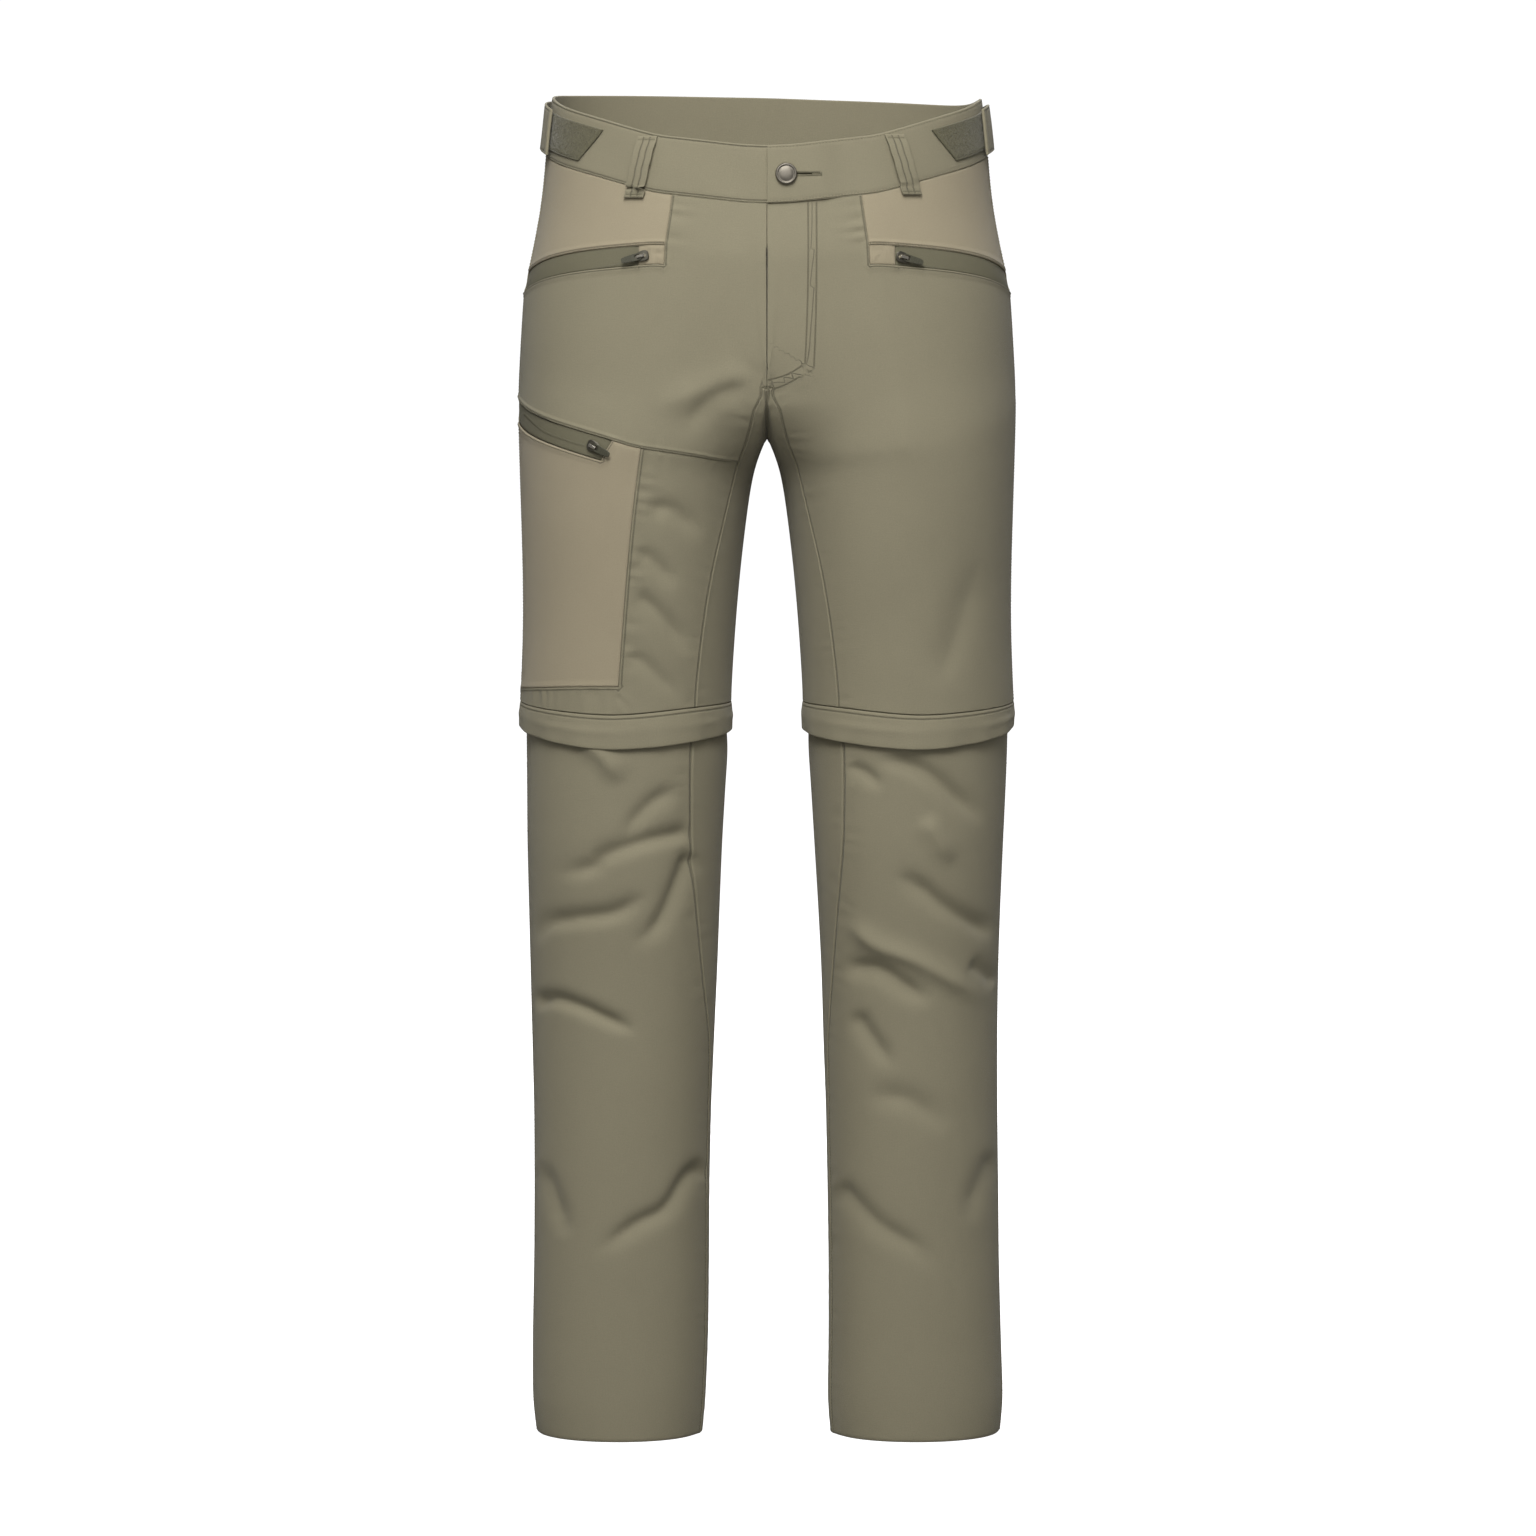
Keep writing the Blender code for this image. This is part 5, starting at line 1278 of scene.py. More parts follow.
class Skin:
    """The surface that lies furthest out, for what is placed on the garment."""

    RAY_NUDGE = 0.12

    def __init__(self, tree):
        self.tree = tree

    def round_waist(self, turn, z):
        """The place at height z that faces turn degrees from the front towards the wearer's left."""
        for aside, higher in SEAM_STEPS:
            nudged = math.radians(turn + self.RAY_NUDGE + aside)
            way = Vector((math.sin(nudged), -math.cos(nudged), 0))
            place, normal, _, _ = self.tree.ray_cast(way + Vector((0, 0, z + higher)), -way)
            if place is not None and place.dot(way) > 0 and normal.dot(way) > 0.2:
                return np.array(place), np.array(normal)
        raise ValueError(f"no surface at {turn} degrees, {z} m")

    def from_front(self, x, z):
        place, normal, _, _ = self.tree.ray_cast(Vector((x, -1, z)), Vector((0, 1, 0)))
        return np.array(place), np.array(normal)


def waist_height(base, turn):
    """The waist seam's height at a turn from the front."""
    angles = np.degrees(np.arctan2(base[:, 0], -base[:, 1]))
    order = np.argsort(angles)
    return float(np.interp((turn + 180) % 360 - 180, angles[order], base[order, 2], period=360))


# What is sewn on the waistband

LOOP_WIDTH, LOOP_THICK, LOOP_BOW, LOOP_REST = 16.5 * MM, 1.4 * MM, 2.6 * MM, 0.5 * MM
LOOP_BELOW_BAND = 8 * MM
LOOP_ROWS = (5.6 * MM, 10.9 * MM)
Loop = namedtuple("Loop", "name turn_top turn_foot")
LOOPS = [
    Loop("belt_loop_front_right", -45.2, -48.5),
    Loop("belt_loop_front_left", 47.7, 51.9),
    Loop("belt_loop_back_right", -138.0, -138.0),
    Loop("belt_loop_back_left", 138.0, 138.0),
    Loop("belt_loop_back_centre", 180.0, 180.0),
]
LOOP_STEPS = 34


def make_belt_loop(loop, skin, base, finishes):
    """A strap over the band, held at both ends and bowed out between them so that a belt can pass."""
    profile = strap_profile(LOOP_WIDTH, LOOP_THICK, LOOP_ROWS, depth=0.3 * MM)
    rings, tacks = [], []
    for down in np.linspace(0, 1, LOOP_STEPS):
        turn = loop.turn_top + (loop.turn_foot - loop.turn_top) * down
        seam = waist_height(base, turn)
        z = seam + BAND_HEIGHT - 2.5 * MM - (BAND_HEIGHT - 2.5 * MM + LOOP_BELOW_BAND) * down
        middle, normal = skin.round_waist(turn, z)
        level = unit(normal * (1, 1, 0))
        across = np.array((-level[1], level[0], 0))
        over_band = BAND_LIFT * float(smoothstep((seam - z) / (1.5 * MM)))
        bow = LOOP_BOW * math.sin(math.pi * down) ** 0.8
        pinch = 0.35 * MM * math.exp(-(((down - 0.06) / 0.03) ** 2)) + 0.35 * MM * math.exp(-(((down - 0.93) / 0.025) ** 2))
        wave = 0.18 * MM * math.sin(down * 23 + loop.turn_top)
        rise = LOOP_REST + over_band + bow + LOOP_THICK - pinch
        rings.append([middle + across * (x - LOOP_WIDTH / 2 + wave) + level * (rise + d) for x, d in profile])
        tacks.append((middle, across, level, rise))
    rings = np.array(rings)
    lines = [rings[1:-1, [x for x, _ in profile].index(row)] for row in LOOP_ROWS]
    made = loft(f"cloth_{loop.name}", rings, finishes["cloth"], rows=lines)
    dress(made, loop.name)
    for place in (2, LOOP_STEPS - 3):
        middle, across, level, rise = tacks[place]
        ends = [middle + across * (t * LOOP_WIDTH * 0.43) + level * rise for t in (-1, 1)]
        lines.append(np.array(ends))
    return made, lines[:2], lines[2:]


PATCH_REST, PATCH_THICK = 0.6 * MM, 1.2 * MM
PATCH_FOOT, PATCH_TOP, PATCH_REAR = 0.18, 0.82, 85.0
PATCH_FRONT = ((0.18, 0.4, 0.6, 0.82), (66.5, 64.0, 61.7, 59.4))
PATCH_LOOPS = 1500
TAB_FRONT, TAB_BACK = 79.0, 134.0
TAB_STAND_OFF, TAB_THICK, REST_GAP = 3.6 * MM, 1.8 * MM, 0.3 * MM
TAB_FOOT, TAB_TOP = 0.1, 0.9
PILE = Stitch(0, 0.95 * MM, 0.13 * MM)


def on_band(skin, base, side, turn, share):
    z = waist_height(base, side * turn) + SEAM_GAP + BAND_HEIGHT * share
    return skin.round_waist(side * turn, z)


def tab_rise(turn):
    """The tab's free end stands off the band, clear of the patch, and its back end lies on it."""
    return REST_GAP + TAB_STAND_OFF * (1 - float(smoothstep((turn - TAB_FRONT) / (TAB_BACK - TAB_FRONT))))


def strip_on_band(name, skin, base, side, turns_at, shares, rise, thick, grooves, finish, steps):
    """A strip round the band. turns_at(t, share) is its turn at t of its length, rise(turn) its distance."""
    foot, top = shares
    width = (top - foot) * BAND_HEIGHT
    profile = strap_profile(width, thick, grooves, depth=0.2 * MM)
    rings = []
    for t in np.linspace(0, 1, steps):
        ring = []
        for up, depth in profile:
            share = foot + (top - foot) * up / width
            turn = turns_at(t, share)
            place, normal = on_band(skin, base, side, turn, share)
            level = np.array((side * math.sin(math.radians(turn)), -math.cos(math.radians(turn)), 0))
            ring.append(place + level * (rise(turn) + thick + depth))
        rings.append(ring)
    rings = np.array(rings)
    ups = [up for up, _ in profile]
    inset = max(1, round((steps - 1) * 0.03))
    sides = [rings[inset:-inset, ups.index(g)] for g in grooves]
    ends = [rings[i, ups.index(grooves[0]) : ups.index(grooves[-1]) + 1] for i in (inset, steps - 1 - inset)]
    made = loft(f"cloth_{name}", rings, finish, rows=[*sides, *ends])
    dress(made, name)
    return made, rings, [*sides, *ends]


def make_adjuster(tag, side, skin, base, finishes):
    """The loop-pile patch on the band's front, and the tab that comes round from the back to it."""

    def patch_turn(t, share):
        front = float(np.interp(share, *PATCH_FRONT))
        return front + (PATCH_REAR - front) * t

    patch, rings, patch_rows = strip_on_band(
        f"adjuster_patch_{tag}", skin, base, side, patch_turn, (PATCH_FOOT, PATCH_TOP),
        lambda turn: PATCH_REST, PATCH_THICK, (1.3 * MM, (PATCH_TOP - PATCH_FOOT) * BAND_HEIGHT - 1.3 * MM),
        finishes["pile"], 40,
    )
    _, _, tab_rows = strip_on_band(
        f"adjuster_tab_{tag}", skin, base, side, lambda t, share: TAB_FRONT + (TAB_BACK - TAB_FRONT) * t,
        (TAB_FOOT, TAB_TOP), tab_rise, TAB_THICK,
        (2.0 * MM, (TAB_TOP - TAB_FOOT) * BAND_HEIGHT - 2.0 * MM), finishes["cloth"], 60,
    )
    make_pile(f"pile_loops_{tag}", rings, finishes["pile"])
    return patch_rows, tab_rows


def make_pile(name, rings, finish):
    """Small loops all over a patch's face, lying every way."""
    rng = np.random.default_rng(11)
    columns = rings.shape[0] - 1
    face = rings[:, 5 : rings.shape[1] // 2 - 5]
    u, v = rng.uniform(1.6, columns - 1.6, PATCH_LOOPS), rng.uniform(0, face.shape[1] - 1.001, PATCH_LOOPS)
    i, j = u.astype(int), v.astype(int)
    fu, fv = (u - i)[:, None], (v - j)[:, None]
    lower = face[i, j] * (1 - fv) + face[i, j + 1] * fv
    upper = face[i + 1, j] * (1 - fv) + face[i + 1, j + 1] * fv
    places = lower * (1 - fu) + upper * fu
    normals = unit(np.cross(face[i + 1, j] - face[i, j], face[i, j + 1] - face[i, j]))
    normals *= np.sign((normals * (places * (1, 1, 0))).sum(axis=1, keepdims=True))
    turn = rng.uniform(0, 2 * math.pi, PATCH_LOOPS)[:, None]
    first = unit(face[i + 1, j] - face[i, j])
    along = first * np.cos(turn) + np.cross(normals, first) * np.sin(turn)
    return threads(name, places + normals * 0.05 * MM, along, normals, PILE, finish)


# Button

BUTTON_X, BUTTON_Z, BUTTON_R, BUTTON_THICK = 15 * MM, -27 * MM, 8.5 * MM, 2.4 * MM
SHANK_R, SHANK_RISE, HOLE_R = 2.4 * MM, 3.7 * MM, 3.1 * MM
SLIT_END_X, SLIT_WIDTH = 42 * MM, 1.2 * MM
PURL = Stitch(0.5 * MM, 1.9 * MM, 0.3 * MM)
HOLE_TACK = Stitch(0.45 * MM, 4.6 * MM, 0.3 * MM)


def revolved(profile, frame, steps=64):
    """Points and faces of a profile of (radius, height) turned about the frame's z."""
    points = [(0, 0, profile[0][1])]
    faces = []
    turns = np.linspace(0, 2 * math.pi, steps, endpoint=False)
    for r, h in profile[1:-1]:
        points += [(r * math.cos(t), r * math.sin(t), h) for t in turns]
    points.append((0, 0, profile[-1][1]))
    last = len(points) - 1
    for s in range(steps):
        t = (s + 1) % steps
        faces.append((0, 1 + t, 1 + s))
        for ring in range(len(profile) - 3):
            a, b = 1 + ring * steps, 1 + (ring + 1) * steps
            faces.append((a + s, a + t, b + t, b + s))
        end = 1 + (len(profile) - 3) * steps
        faces.append((last, end + s, end + t))
    return [tuple(frame @ Vector(p)) for p in points], faces


def solid(name, parts, finish, smooth_angle=0.7):
    """One piece from several closed parts, with its creases kept crisp."""
    points, faces = [], []
    for part_points, part_faces in parts:
        start = len(points)
        points += part_points
        faces += [tuple(start + v for v in face) for face in part_faces]
    mesh = bpy.data.meshes.new(name)
    mesh.from_pydata(points, [], faces)
    mesh.update()
    mesh.shade_smooth()
    mesh.set_sharp_from_angle(angle=smooth_angle)
    mesh.materials.append(finish)
    made = bpy.data.objects.new(name, mesh)
    bpy.context.scene.collection.objects.link(made)
    return made


def frame_at(place, normal, along):
    """Axes at a place: x along, z out."""
    along = unit(along - normal * float(along @ normal))
    axes = Matrix((Vector(along), Vector(np.cross(normal, along)), Vector(normal))).transposed().to_4x4()
    return Matrix.Translation(Vector(place)) @ axes


def make_button(skin, finishes):
    """The tack button: a rim, a shallow dish and a low dome in its middle."""
    place, normal = skin.from_front(BUTTON_X, BUTTON_Z)
    frame = frame_at(place - normal * OVERLAP_LIFT, normal, np.array((1.0, 0, 0)))
    top = SHANK_RISE + BUTTON_THICK
    profile = [
        (0, REST_GAP), (SHANK_R, REST_GAP), (SHANK_R, SHANK_RISE), (BUTTON_R - 1.4 * MM, SHANK_RISE),
        (BUTTON_R - 0.4 * MM, SHANK_RISE + 0.25 * MM), (BUTTON_R, SHANK_RISE + 0.9 * MM),
        (BUTTON_R - 0.15 * MM, SHANK_RISE + 1.5 * MM), (BUTTON_R - 0.6 * MM, top - 0.3 * MM),
        (BUTTON_R - 1.2 * MM, top - 0.1 * MM), (BUTTON_R - 1.75 * MM, top - 0.25 * MM),
        (BUTTON_R - 2.1 * MM, top - 0.75 * MM), (BUTTON_R - 2.5 * MM, top - 0.8 * MM),
        (BUTTON_R - 3.2 * MM, top - 0.5 * MM), (BUTTON_R - 4.6 * MM, top - 0.2 * MM),
        (BUTTON_R - 6.4 * MM, top - 0.05 * MM), (0, top),
    ]
    made = solid("metal_waist_button", [revolved(profile, frame)], finishes["button"], 1.2)
    dress(made, "waist_button")


def keyhole(grow, taper=0.0):
    """Outline of the buttonhole, grown by a distance that tapers to its far end."""
    slit = SLIT_END_X - BUTTON_X
    eye, narrow = HOLE_R + grow, SLIT_WIDTH / 2 + grow
    begin = math.asin(narrow / eye)
    outline = [(eye * math.cos(t), eye * math.sin(t)) for t in np.linspace(begin, 2 * math.pi - begin, 40)]
    start = outline[-1][0]
    far = [(start + (slit - start) * t, -narrow + taper * t) for t in np.linspace(0.03, 1, 24)]
    return [*outline, *far, *[(x, -y) for x, y in far[::-1]]]


def make_buttonhole(band, skin, finishes):
    """The opening for the button's shank, cut through the band, and the purl threads round it."""
    place, normal = skin.from_front(BUTTON_X, BUTTON_Z)
    far_place, _ = skin.from_front(SLIT_END_X, BUTTON_Z)
    frame = frame_at(place, normal, far_place - place)
    outline = keyhole(0.0)
    count = len(outline)
    points = [tuple(frame @ Vector((x, y, z * 9 * MM))) for z in (-1, 1) for x, y in outline]
    sides = [(i, (i + 1) % count, count + (i + 1) % count, count + i) for i in range(count)]
    cutter = solid("cutter", [(points, [tuple(range(count))[::-1], tuple(range(count, 2 * count)), *sides])], None)
    hole = band.modifiers.new("hole", "BOOLEAN")
    hole.object = cutter
    hole.operation = "DIFFERENCE"
    bpy.context.view_layer.update()
    graph = bpy.context.evaluated_depsgraph_get()
    cut = bpy.data.meshes.new_from_object(band.evaluated_get(graph), depsgraph=graph)
    band.modifiers.remove(hole)
    band.data = cut
    bpy.data.objects.remove(cutter)
    line = np.array([frame @ Vector((x, y, 0)) for x, y in keyhole(0.95 * MM, 0.45 * MM)])
    made = sew("buttonhole_threads", [np.vstack([line, line[:1]])], skin.tree, finishes["thread"], PURL, True)
    ends = [frame @ Vector((SLIT_END_X - BUTTON_X + x, 0, 0)) for x in (-0.2 * MM, 1.6 * MM)]
    sew("buttonhole_tack", [np.array(ends)], skin.tree, finishes["thread"], HOLE_TACK, True)
    return made


# Sliders and pulls

COIL_RISE = 0.8 * MM
SLIDER, BRIDGE = (11.5 * MM, 8.4 * MM, 2.6 * MM), (6.0 * MM, 2.4 * MM, 0.9 * MM)
BRIDGE_GAP = 1.7 * MM
PULL, PULL_SLOT = (16.5 * MM, 6.2 * MM, 1.0 * MM), 3.6 * MM
# pivot and axis are those of the pull's joint, which swings it out from the cloth
Zip = namedtuple("Zip", "name body pivot axis")
ZIPS = [
    Zip("hand_{}_right", "pull_hand_right", (-98.684, -107.094, -91.072), (-0.204322, 0.185028, 0.961258)),
    Zip("hand_{}_left", "pull_hand_left", (107.448, -103.796, -92.04), (-0.203092, -0.214076, -0.955471)),
    Zip("cargo_{}", "pull_cargo", (-136.732, -106.054, -239.95), (-0.368607, 0.178255, -0.912334)),
]


def prism(outline, low, high, bevel, frame):
    """A bevelled plate with an outline of (x, y)."""
    outline = np.array(outline)
    middle = outline.mean(axis=0)
    reach = np.abs(outline - middle).max(axis=0)
    inset = middle + (outline - middle) * (1 - bevel / reach)
    layers = ((inset, low), (outline, low + bevel), (outline, high - bevel), (inset, high))
    points = [tuple(frame @ Vector((x, y, z))) for shape, z in layers for x, y in shape]
    count = len(outline)
    faces = [tuple(range(count))[::-1], tuple(range(3 * count, 4 * count))]
    for layer in range(3):
        a = layer * count
        faces += [(a + i, a + (i + 1) % count, a + count + (i + 1) % count, a + count + i) for i in range(count)]
    return points, faces


def framed_plate(outer, window, half, bevel, frame):
    """A bevelled plate with a window, its outlines given with as many points each."""
    outer, window = np.array(outer), np.array(window)
    middle, hole = outer.mean(axis=0), window.mean(axis=0)
    inset = middle + (outer - middle) * (1 - bevel / np.abs(outer - middle).max(axis=0))
    wider = hole + (window - hole) * (1 + bevel / np.abs(window - hole).max(axis=0))
    layers = (
        (inset, half), (outer, half - bevel), (outer, bevel - half), (inset, -half),
        (wider, -half), (window, bevel - half), (window, half - bevel), (wider, half),
    )
    points = [tuple(frame @ Vector((x, y, z))) for shape, z in layers for x, y in shape]
    count, faces = len(outer), []
    for layer in range(len(layers)):
        a, b = layer * count, (layer + 1) % len(layers) * count
        faces += [(a + i, b + i, b + (i + 1) % count, a + (i + 1) % count) for i in range(count)]
    return points, faces


def rounded(length, width, tip, count=32, start=0.0):
    """An outline that is length by width, its ends narrowed to tip of the width."""
    turns = np.linspace(0, 2 * math.pi, count, endpoint=False)
    x = np.sign(np.cos(turns)) * np.abs(np.cos(turns)) ** 0.55 * length / 2
    y = np.sign(np.sin(turns)) * np.abs(np.sin(turns)) ** 0.55 * width / 2
    narrow = 1 - (1 - tip) * smoothstep((x / length + 0.5 - 0.3) / 0.7)
    return [(start + a, b * n) for a, b, n in zip(x, y, narrow)]


def make_zip_ends(zip_row, skin, finishes):
    """A slider with its bridge, and the pull whose crossbar turns under the bridge."""
    length, width, height = SLIDER
    top = REST_GAP + height
    pivot, across = np.array(zip_row.pivot) * MM, -np.array(zip_row.axis)
    _, normal = skin.from_front(pivot[0], pivot[2])
    normal = unit(normal - across * float(across @ normal))
    frame = frame_at(pivot - normal * (top + BRIDGE_GAP / 2), normal, np.cross(across, normal))
    deck = rounded(length, width, 0.72)
    waist = rounded(length * 0.92, width * 0.8, 0.62)
    span, wide, bar = BRIDGE
    legs = [[(x - 0.5 * MM, -wide / 2), (x + 0.5 * MM, -wide / 2), (x + 0.5 * MM, wide / 2), (x - 0.5 * MM, wide / 2)]
            for x in (0.5 * MM - span / 2, span / 2 - 0.5 * MM)]
    slider = [
        prism(deck, REST_GAP, REST_GAP + 0.9 * MM, 0.25 * MM, frame),
        prism(waist, REST_GAP + 0.8 * MM, top - 0.8 * MM, 0.1 * MM, frame),
        prism(deck, top - 0.9 * MM, top, 0.3 * MM, frame),
    ]
    made = solid(f"metal_{zip_row.name.format('slider')}", slider, finishes["slider"])
    dress(made, zip_row.name.format("slider"))
    high = top + BRIDGE_GAP
    bridge = [prism(leg, top - 0.1 * MM, high + bar * 0.6, 0.12 * MM, frame) for leg in legs]
    bridge.append(prism(rounded(span + 0.4 * MM, wide, 0.8, 24), high, high + bar, 0.28 * MM, frame))
    made = solid(f"metal_{zip_row.name.format('bridge')}", bridge, finishes["bright"])
    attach(made, "garment")
    make_pull(zip_row, frame @ Matrix.Translation((0, 0, top + BRIDGE_GAP / 2)), finishes["pull"])


def make_pull(zip_row, frame, finish):
    """A flat pull with a window, whose crossbar lies under the slider's bridge, and a ribbed grip."""
    reach, width, thick = PULL
    bar = thick / 2
    turns = np.linspace(0, 2 * math.pi, 40, endpoint=False)
    middle_x = (reach - bar) / 2

    def outline(half_x, half_y, centre, tip):
        x = np.sign(np.cos(turns)) * np.abs(np.cos(turns)) ** 0.5 * half_x
        y = np.sign(np.sin(turns)) * np.abs(np.sin(turns)) ** 0.5 * half_y
        taper = 1 - (1 - tip) * smoothstep((x + half_x) / (2 * half_x))
        return np.stack([x + centre, y * taper], axis=1)

    outer = outline((reach + bar) / 2, width / 2, middle_x, 0.8)
    window = outline((5.2 * MM - bar) / 2, PULL_SLOT / 2, (5.2 * MM + bar) / 2, 1.0)
    parts = [framed_plate(outer, window, bar, 0.22 * MM, frame)]
    for x in (8.0, 10.0, 12.0, 14.0):
        rib = [(x * MM + a, b) for a, b in rounded(0.9 * MM, width * 0.66, 1.0, 16)]
        parts.append(prism(rib, bar - 0.15 * MM, bar + 0.28 * MM, 0.14 * MM, frame))
    made = solid(f"plastic_{zip_row.name.format('pull')}", parts, finish)
    dress(made, zip_row.name.format("pull"), zip_row.body)


# Zips, cuffs and the fly's guard

COIL_PITCH, COIL_HALF, COIL_WIRE = 1.3 * MM, 1.5 * MM, 0.34 * MM


def make_coil(name, line, tree, finish):
    """The closed coil along a zip: one small tooth after another, from both sides by turns."""
    places, along = even_steps(line, COIL_PITCH)
    places, normals = snapped(tree, places)
    along = unit(along - normals * (along * normals).sum(axis=1, keepdims=True))
    across = np.cross(normals, along)
    tooth = Stitch(0, 2 * COIL_HALF, COIL_WIRE)
    return threads(name, places - normals * 0.05 * MM, across, normals, tooth, finish)


CUFF, CUFF_HEIGHT, CUFF_DIP, CUFF_INNER_DIP, CUFF_FLARE = 2.2 * MM, 19 * MM, 8 * MM, 2.5 * MM, 1.2 * MM
CUFF_ROW = 2.2 * MM
LEG_ZIP_HEIGHT, LEG_ZIP_TUCK, LEG_ZIP_THICK = 20 * MM, 5 * MM, 1.5 * MM
CLOTH = 1.6 * MM


def cuff_ripple(along, share, seed):
    """The cuff's uneven hang, stronger towards its free edge, and its soft relief along the middle."""
    hang = 0.55 * np.sin(along / (13 * MM) + seed) + 0.35 * np.sin(along / (5.1 * MM) + 2 * seed)
    relief = 0.5 * math.exp(-(((share - 0.52) / 0.1) ** 2)) - 0.4 * math.exp(-(((share - 0.35) / 0.1) ** 2))
    tight = 0.3 * pucker_wave(along, seed) * math.exp(-abs(share - 0.11) / 0.12)
    return (hang * share**1.5 + relief * (0.6 + 0.4 * np.sin(along / (21 * MM) + seed)) + tight) * MM


def tube_from_loop(name, base, side, profile, height, rise, finish, ripple=None, seed=0, rows=()):
    """A ring of cloth hung from a loop. profile rows are (drop, depth), rise(share) the flare."""
    out = outward(base)
    dip = CUFF_DIP * np.clip(-out[:, 1], 0, 1) + CUFF_INNER_DIP * np.clip(-out[:, 0] * side, 0, 1)
    covered = np.concatenate([[0], np.cumsum(np.linalg.norm(np.diff(base, axis=0), axis=1))])
    rings = []
    for drop, depth in profile:
        share = max(0.0, drop / height)
        away = rise(share) + depth
        if ripple is not None and depth > -CUFF / 2:
            fade = smoothstep(covered / (20 * MM)) * smoothstep((covered[-1] - covered) / (20 * MM))
            away = away + ripple(covered, share, seed) * fade
        rings.append(base + out * np.reshape(away, (-1, 1)) - np.outer(drop + dip * share, (0, 0, 1)))
    rings = np.stack(rings, axis=1)
    lines = [rings[:, [d for d, _ in profile].index(row)] for row in rows]
    made = loft(f"cloth_{name}", rings, finish, closed=True, rows=lines)
    dress(made, name)
    return made, [np.vstack([line, line[:1]]) for line in lines]


def make_knee(tag, side, points, quads, finishes):
    loop = next(l for l in border(points, quads, False) if points[l][:, 0].mean() * side > 0)
    base = points[loop]
    profile = [(SEAM_GAP + x, d) for x, d in strap_profile(CUFF_HEIGHT, CUFF, (CUFF_ROW,), steps=12)]
    row = profile[[x for x, _ in profile].index(SEAM_GAP + CUFF_ROW)][0]
    _, rows = tube_from_loop(
        f"knee_cuff_{tag}", base, side, profile, CUFF_HEIGHT,
        lambda share: CUFF_FLARE * float(np.interp(share, (0, 0.4, 1), (0, 1, 0.6))),
        finishes["cloth"], cuff_ripple, side + 2, (row,),
    )
    inside = -CLOTH - 2 * REST_GAP
    ring = [(x - LEG_ZIP_TUCK, d) for x, d in strap_profile(LEG_ZIP_HEIGHT, LEG_ZIP_THICK)]
    tube_from_loop(f"leg_zip_{tag}", base, side, ring, LEG_ZIP_HEIGHT, lambda share: inside, finishes["tape"])
    return rows


SHIELD_X, SHIELD_Z = (-9, 30), (-58, -190)


def make_fly_shield(skin, finishes):
    """The guard behind the fly: it closes the slit between the two fronts."""
    width = (SHIELD_X[1] - SHIELD_X[0]) * MM
    thick = 1.4 * MM
    profile = strap_profile(width, thick)
    rings = []
    for z in np.linspace(*SHIELD_Z, 40):
        ring = []
        for x, depth in profile:
            place, normal = skin.from_front(SHIELD_X[0] * MM + x, z * MM)
            ring.append(place - normal * (CLOTH + REST_GAP + 0.2 * MM - depth))
        rings.append(ring)
    made = loft("cloth_fly_shield", rings, finishes["cloth"])
    dress(made, "fly_shield")


# Stage


def make_stage():
    low = cad_box[0][2]
    bpy.ops.mesh.primitive_circle_add(vertices=96, radius=14, fill_type="NGON", location=(0, 0, low - 0.5 * MM))
    floor = bpy.context.object
    floor.name = "floor"
    nodes = Nodes("pale_floor", 0.9)
    nodes.shader.inputs["Base Color"].default_value = (0.75, 0.75, 0.75, 1)
    nodes.shader.inputs["Emission Color"].default_value = (1, 1, 1, 1)
    nodes.shader.inputs["Emission Strength"].default_value = 0.95
    dull = nodes.add("ShaderNodeBsdfDiffuse")
    dull.inputs["Color"].default_value = (0.3, 0.3, 0.3, 1)
    mix = nodes.add("ShaderNodeMixShader")
    nodes.put(mix.inputs[0], nodes.add("ShaderNodeLightPath").outputs["Is Camera Ray"])
    nodes.put(mix.inputs[1], dull.outputs[0])
    nodes.put(mix.inputs[2], nodes.shader.outputs[0])
    nodes.put(nodes.tree.nodes["Material Output"].inputs["Surface"], mix.outputs[0])
    floor.data.materials.append(nodes.material)


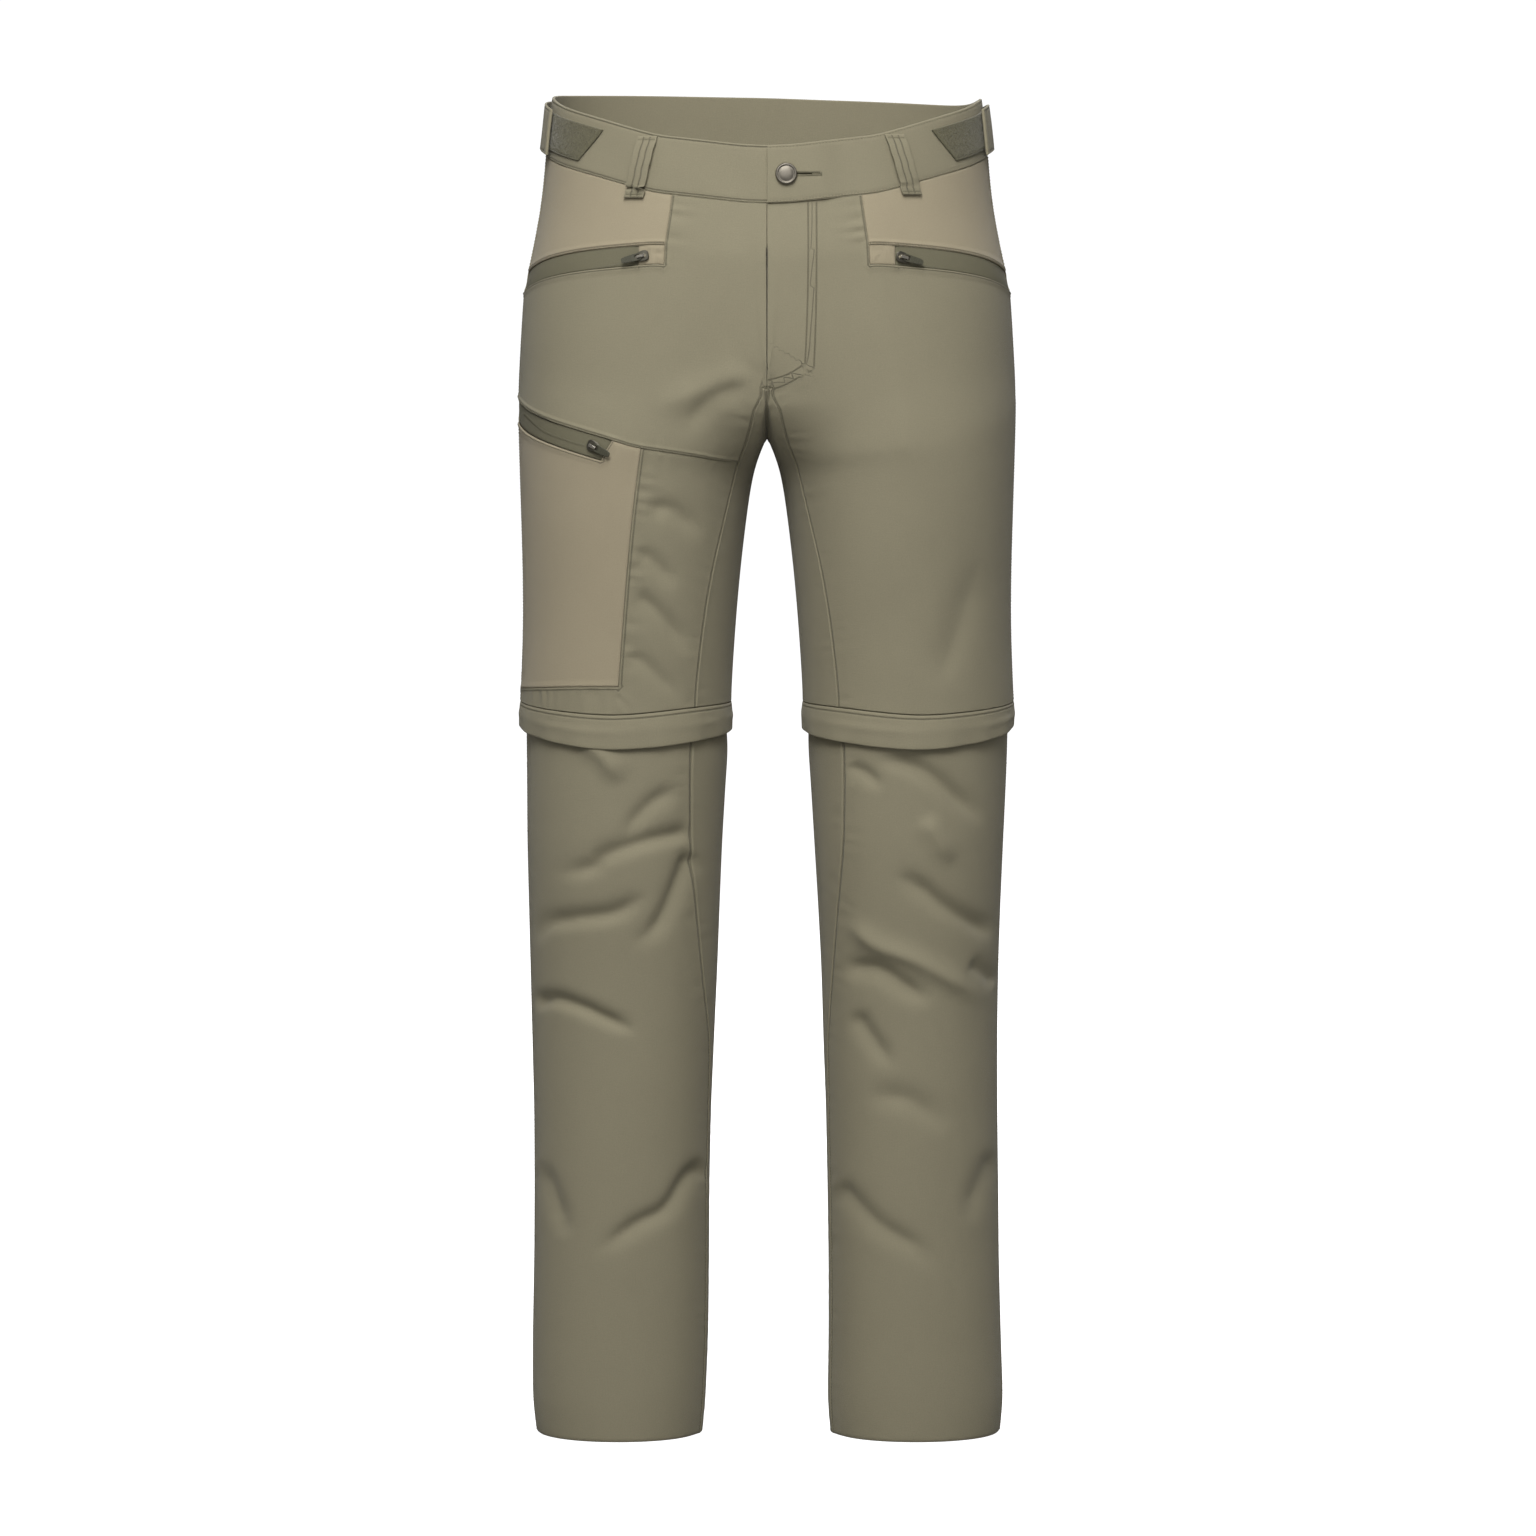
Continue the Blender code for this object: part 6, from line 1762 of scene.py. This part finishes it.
def make_world():
    """White to the camera, and a softer light on the cloth."""
    world = bpy.data.worlds.new("studio")
    world.use_nodes = True
    tree = world.node_tree
    path = tree.nodes.new("ShaderNodeLightPath")
    strength = tree.nodes.new("ShaderNodeMapRange")
    strength.inputs["To Min"].default_value = AMBIENT
    strength.inputs["To Max"].default_value = 1.05
    tree.links.new(path.outputs["Is Camera Ray"], strength.inputs["Value"])
    background = tree.nodes["Background"]
    background.inputs["Color"].default_value = (1, 1, 1, 1)
    tree.links.new(strength.outputs[0], background.inputs["Strength"])
    bpy.context.scene.world = world
    bpy.context.scene.view_settings.view_transform = "Standard"


def make_lights():
    for name, place, aim, size, power in LIGHTS:
        light = bpy.data.lights.new(name, "AREA")
        light.size = size
        light.energy = power
        made = bpy.data.objects.new(name, light)
        made.location = place
        made.rotation_euler = (Vector(place) - Vector(aim)).to_track_quat("Z", "Y").to_euler()
        bpy.context.scene.collection.objects.link(made)


def make_camera():
    camera = bpy.data.cameras.new("camera")
    camera.sensor_width = 36
    camera.lens = camera.sensor_width * VIEW_FROM / (METRES_PER_PIXEL * PICTURE)
    made = bpy.data.objects.new("camera", camera)
    place, up, ahead = picture_axes()
    made.location = place
    made.rotation_euler = Vector(ahead).to_track_quat("-Z", "Y").to_euler()
    bpy.context.scene.collection.objects.link(made)
    bpy.context.scene.camera = made


def main():
    make_camera()
    make_lights()
    make_world()
    make_stage()
    finishes = make_finishes()
    points, quads, pieces = make_body(finishes)
    bands, base, rows = make_waistband(points, quads, finishes)
    skin = Skin(outer_tree([*pieces, *bands.values()]))
    sew("stitches_waistband", rows, skin.tree, finishes["thread"])
    make_fly_shield(Skin(tree_of(points, quads)), finishes)
    made, lines, tacks = zip(*[make_belt_loop(loop, skin, base, finishes) for loop in LOOPS])
    on_loops = outer_tree(made)
    sew("stitches_belt_loops", [line for pair in lines for line in pair], on_loops, finishes["thread"])
    sew("bartacks_belt_loops", [t for pair in tacks for t in pair], on_loops, finishes["thread"], BARTACK, True)
    for tag, side in (("left", 1), ("right", -1)):
        make_adjuster(tag, side, skin, base, finishes)
        cuff_rows = make_knee(tag, side, points, quads, finishes)
        cuff = bpy.data.objects[f"cloth_knee_cuff_{tag}"]
        sew(f"stitches_cuff_{tag}", cuff_rows, outer_tree([cuff]), finishes["thread"])
        make_shin(tag, side, finishes)
    make_button(skin, finishes)
    make_buttonhole(bands["waistband_front_left"], skin, finishes)
    for zip_row in ZIPS:
        make_zip_ends(zip_row, skin, finishes)


main()
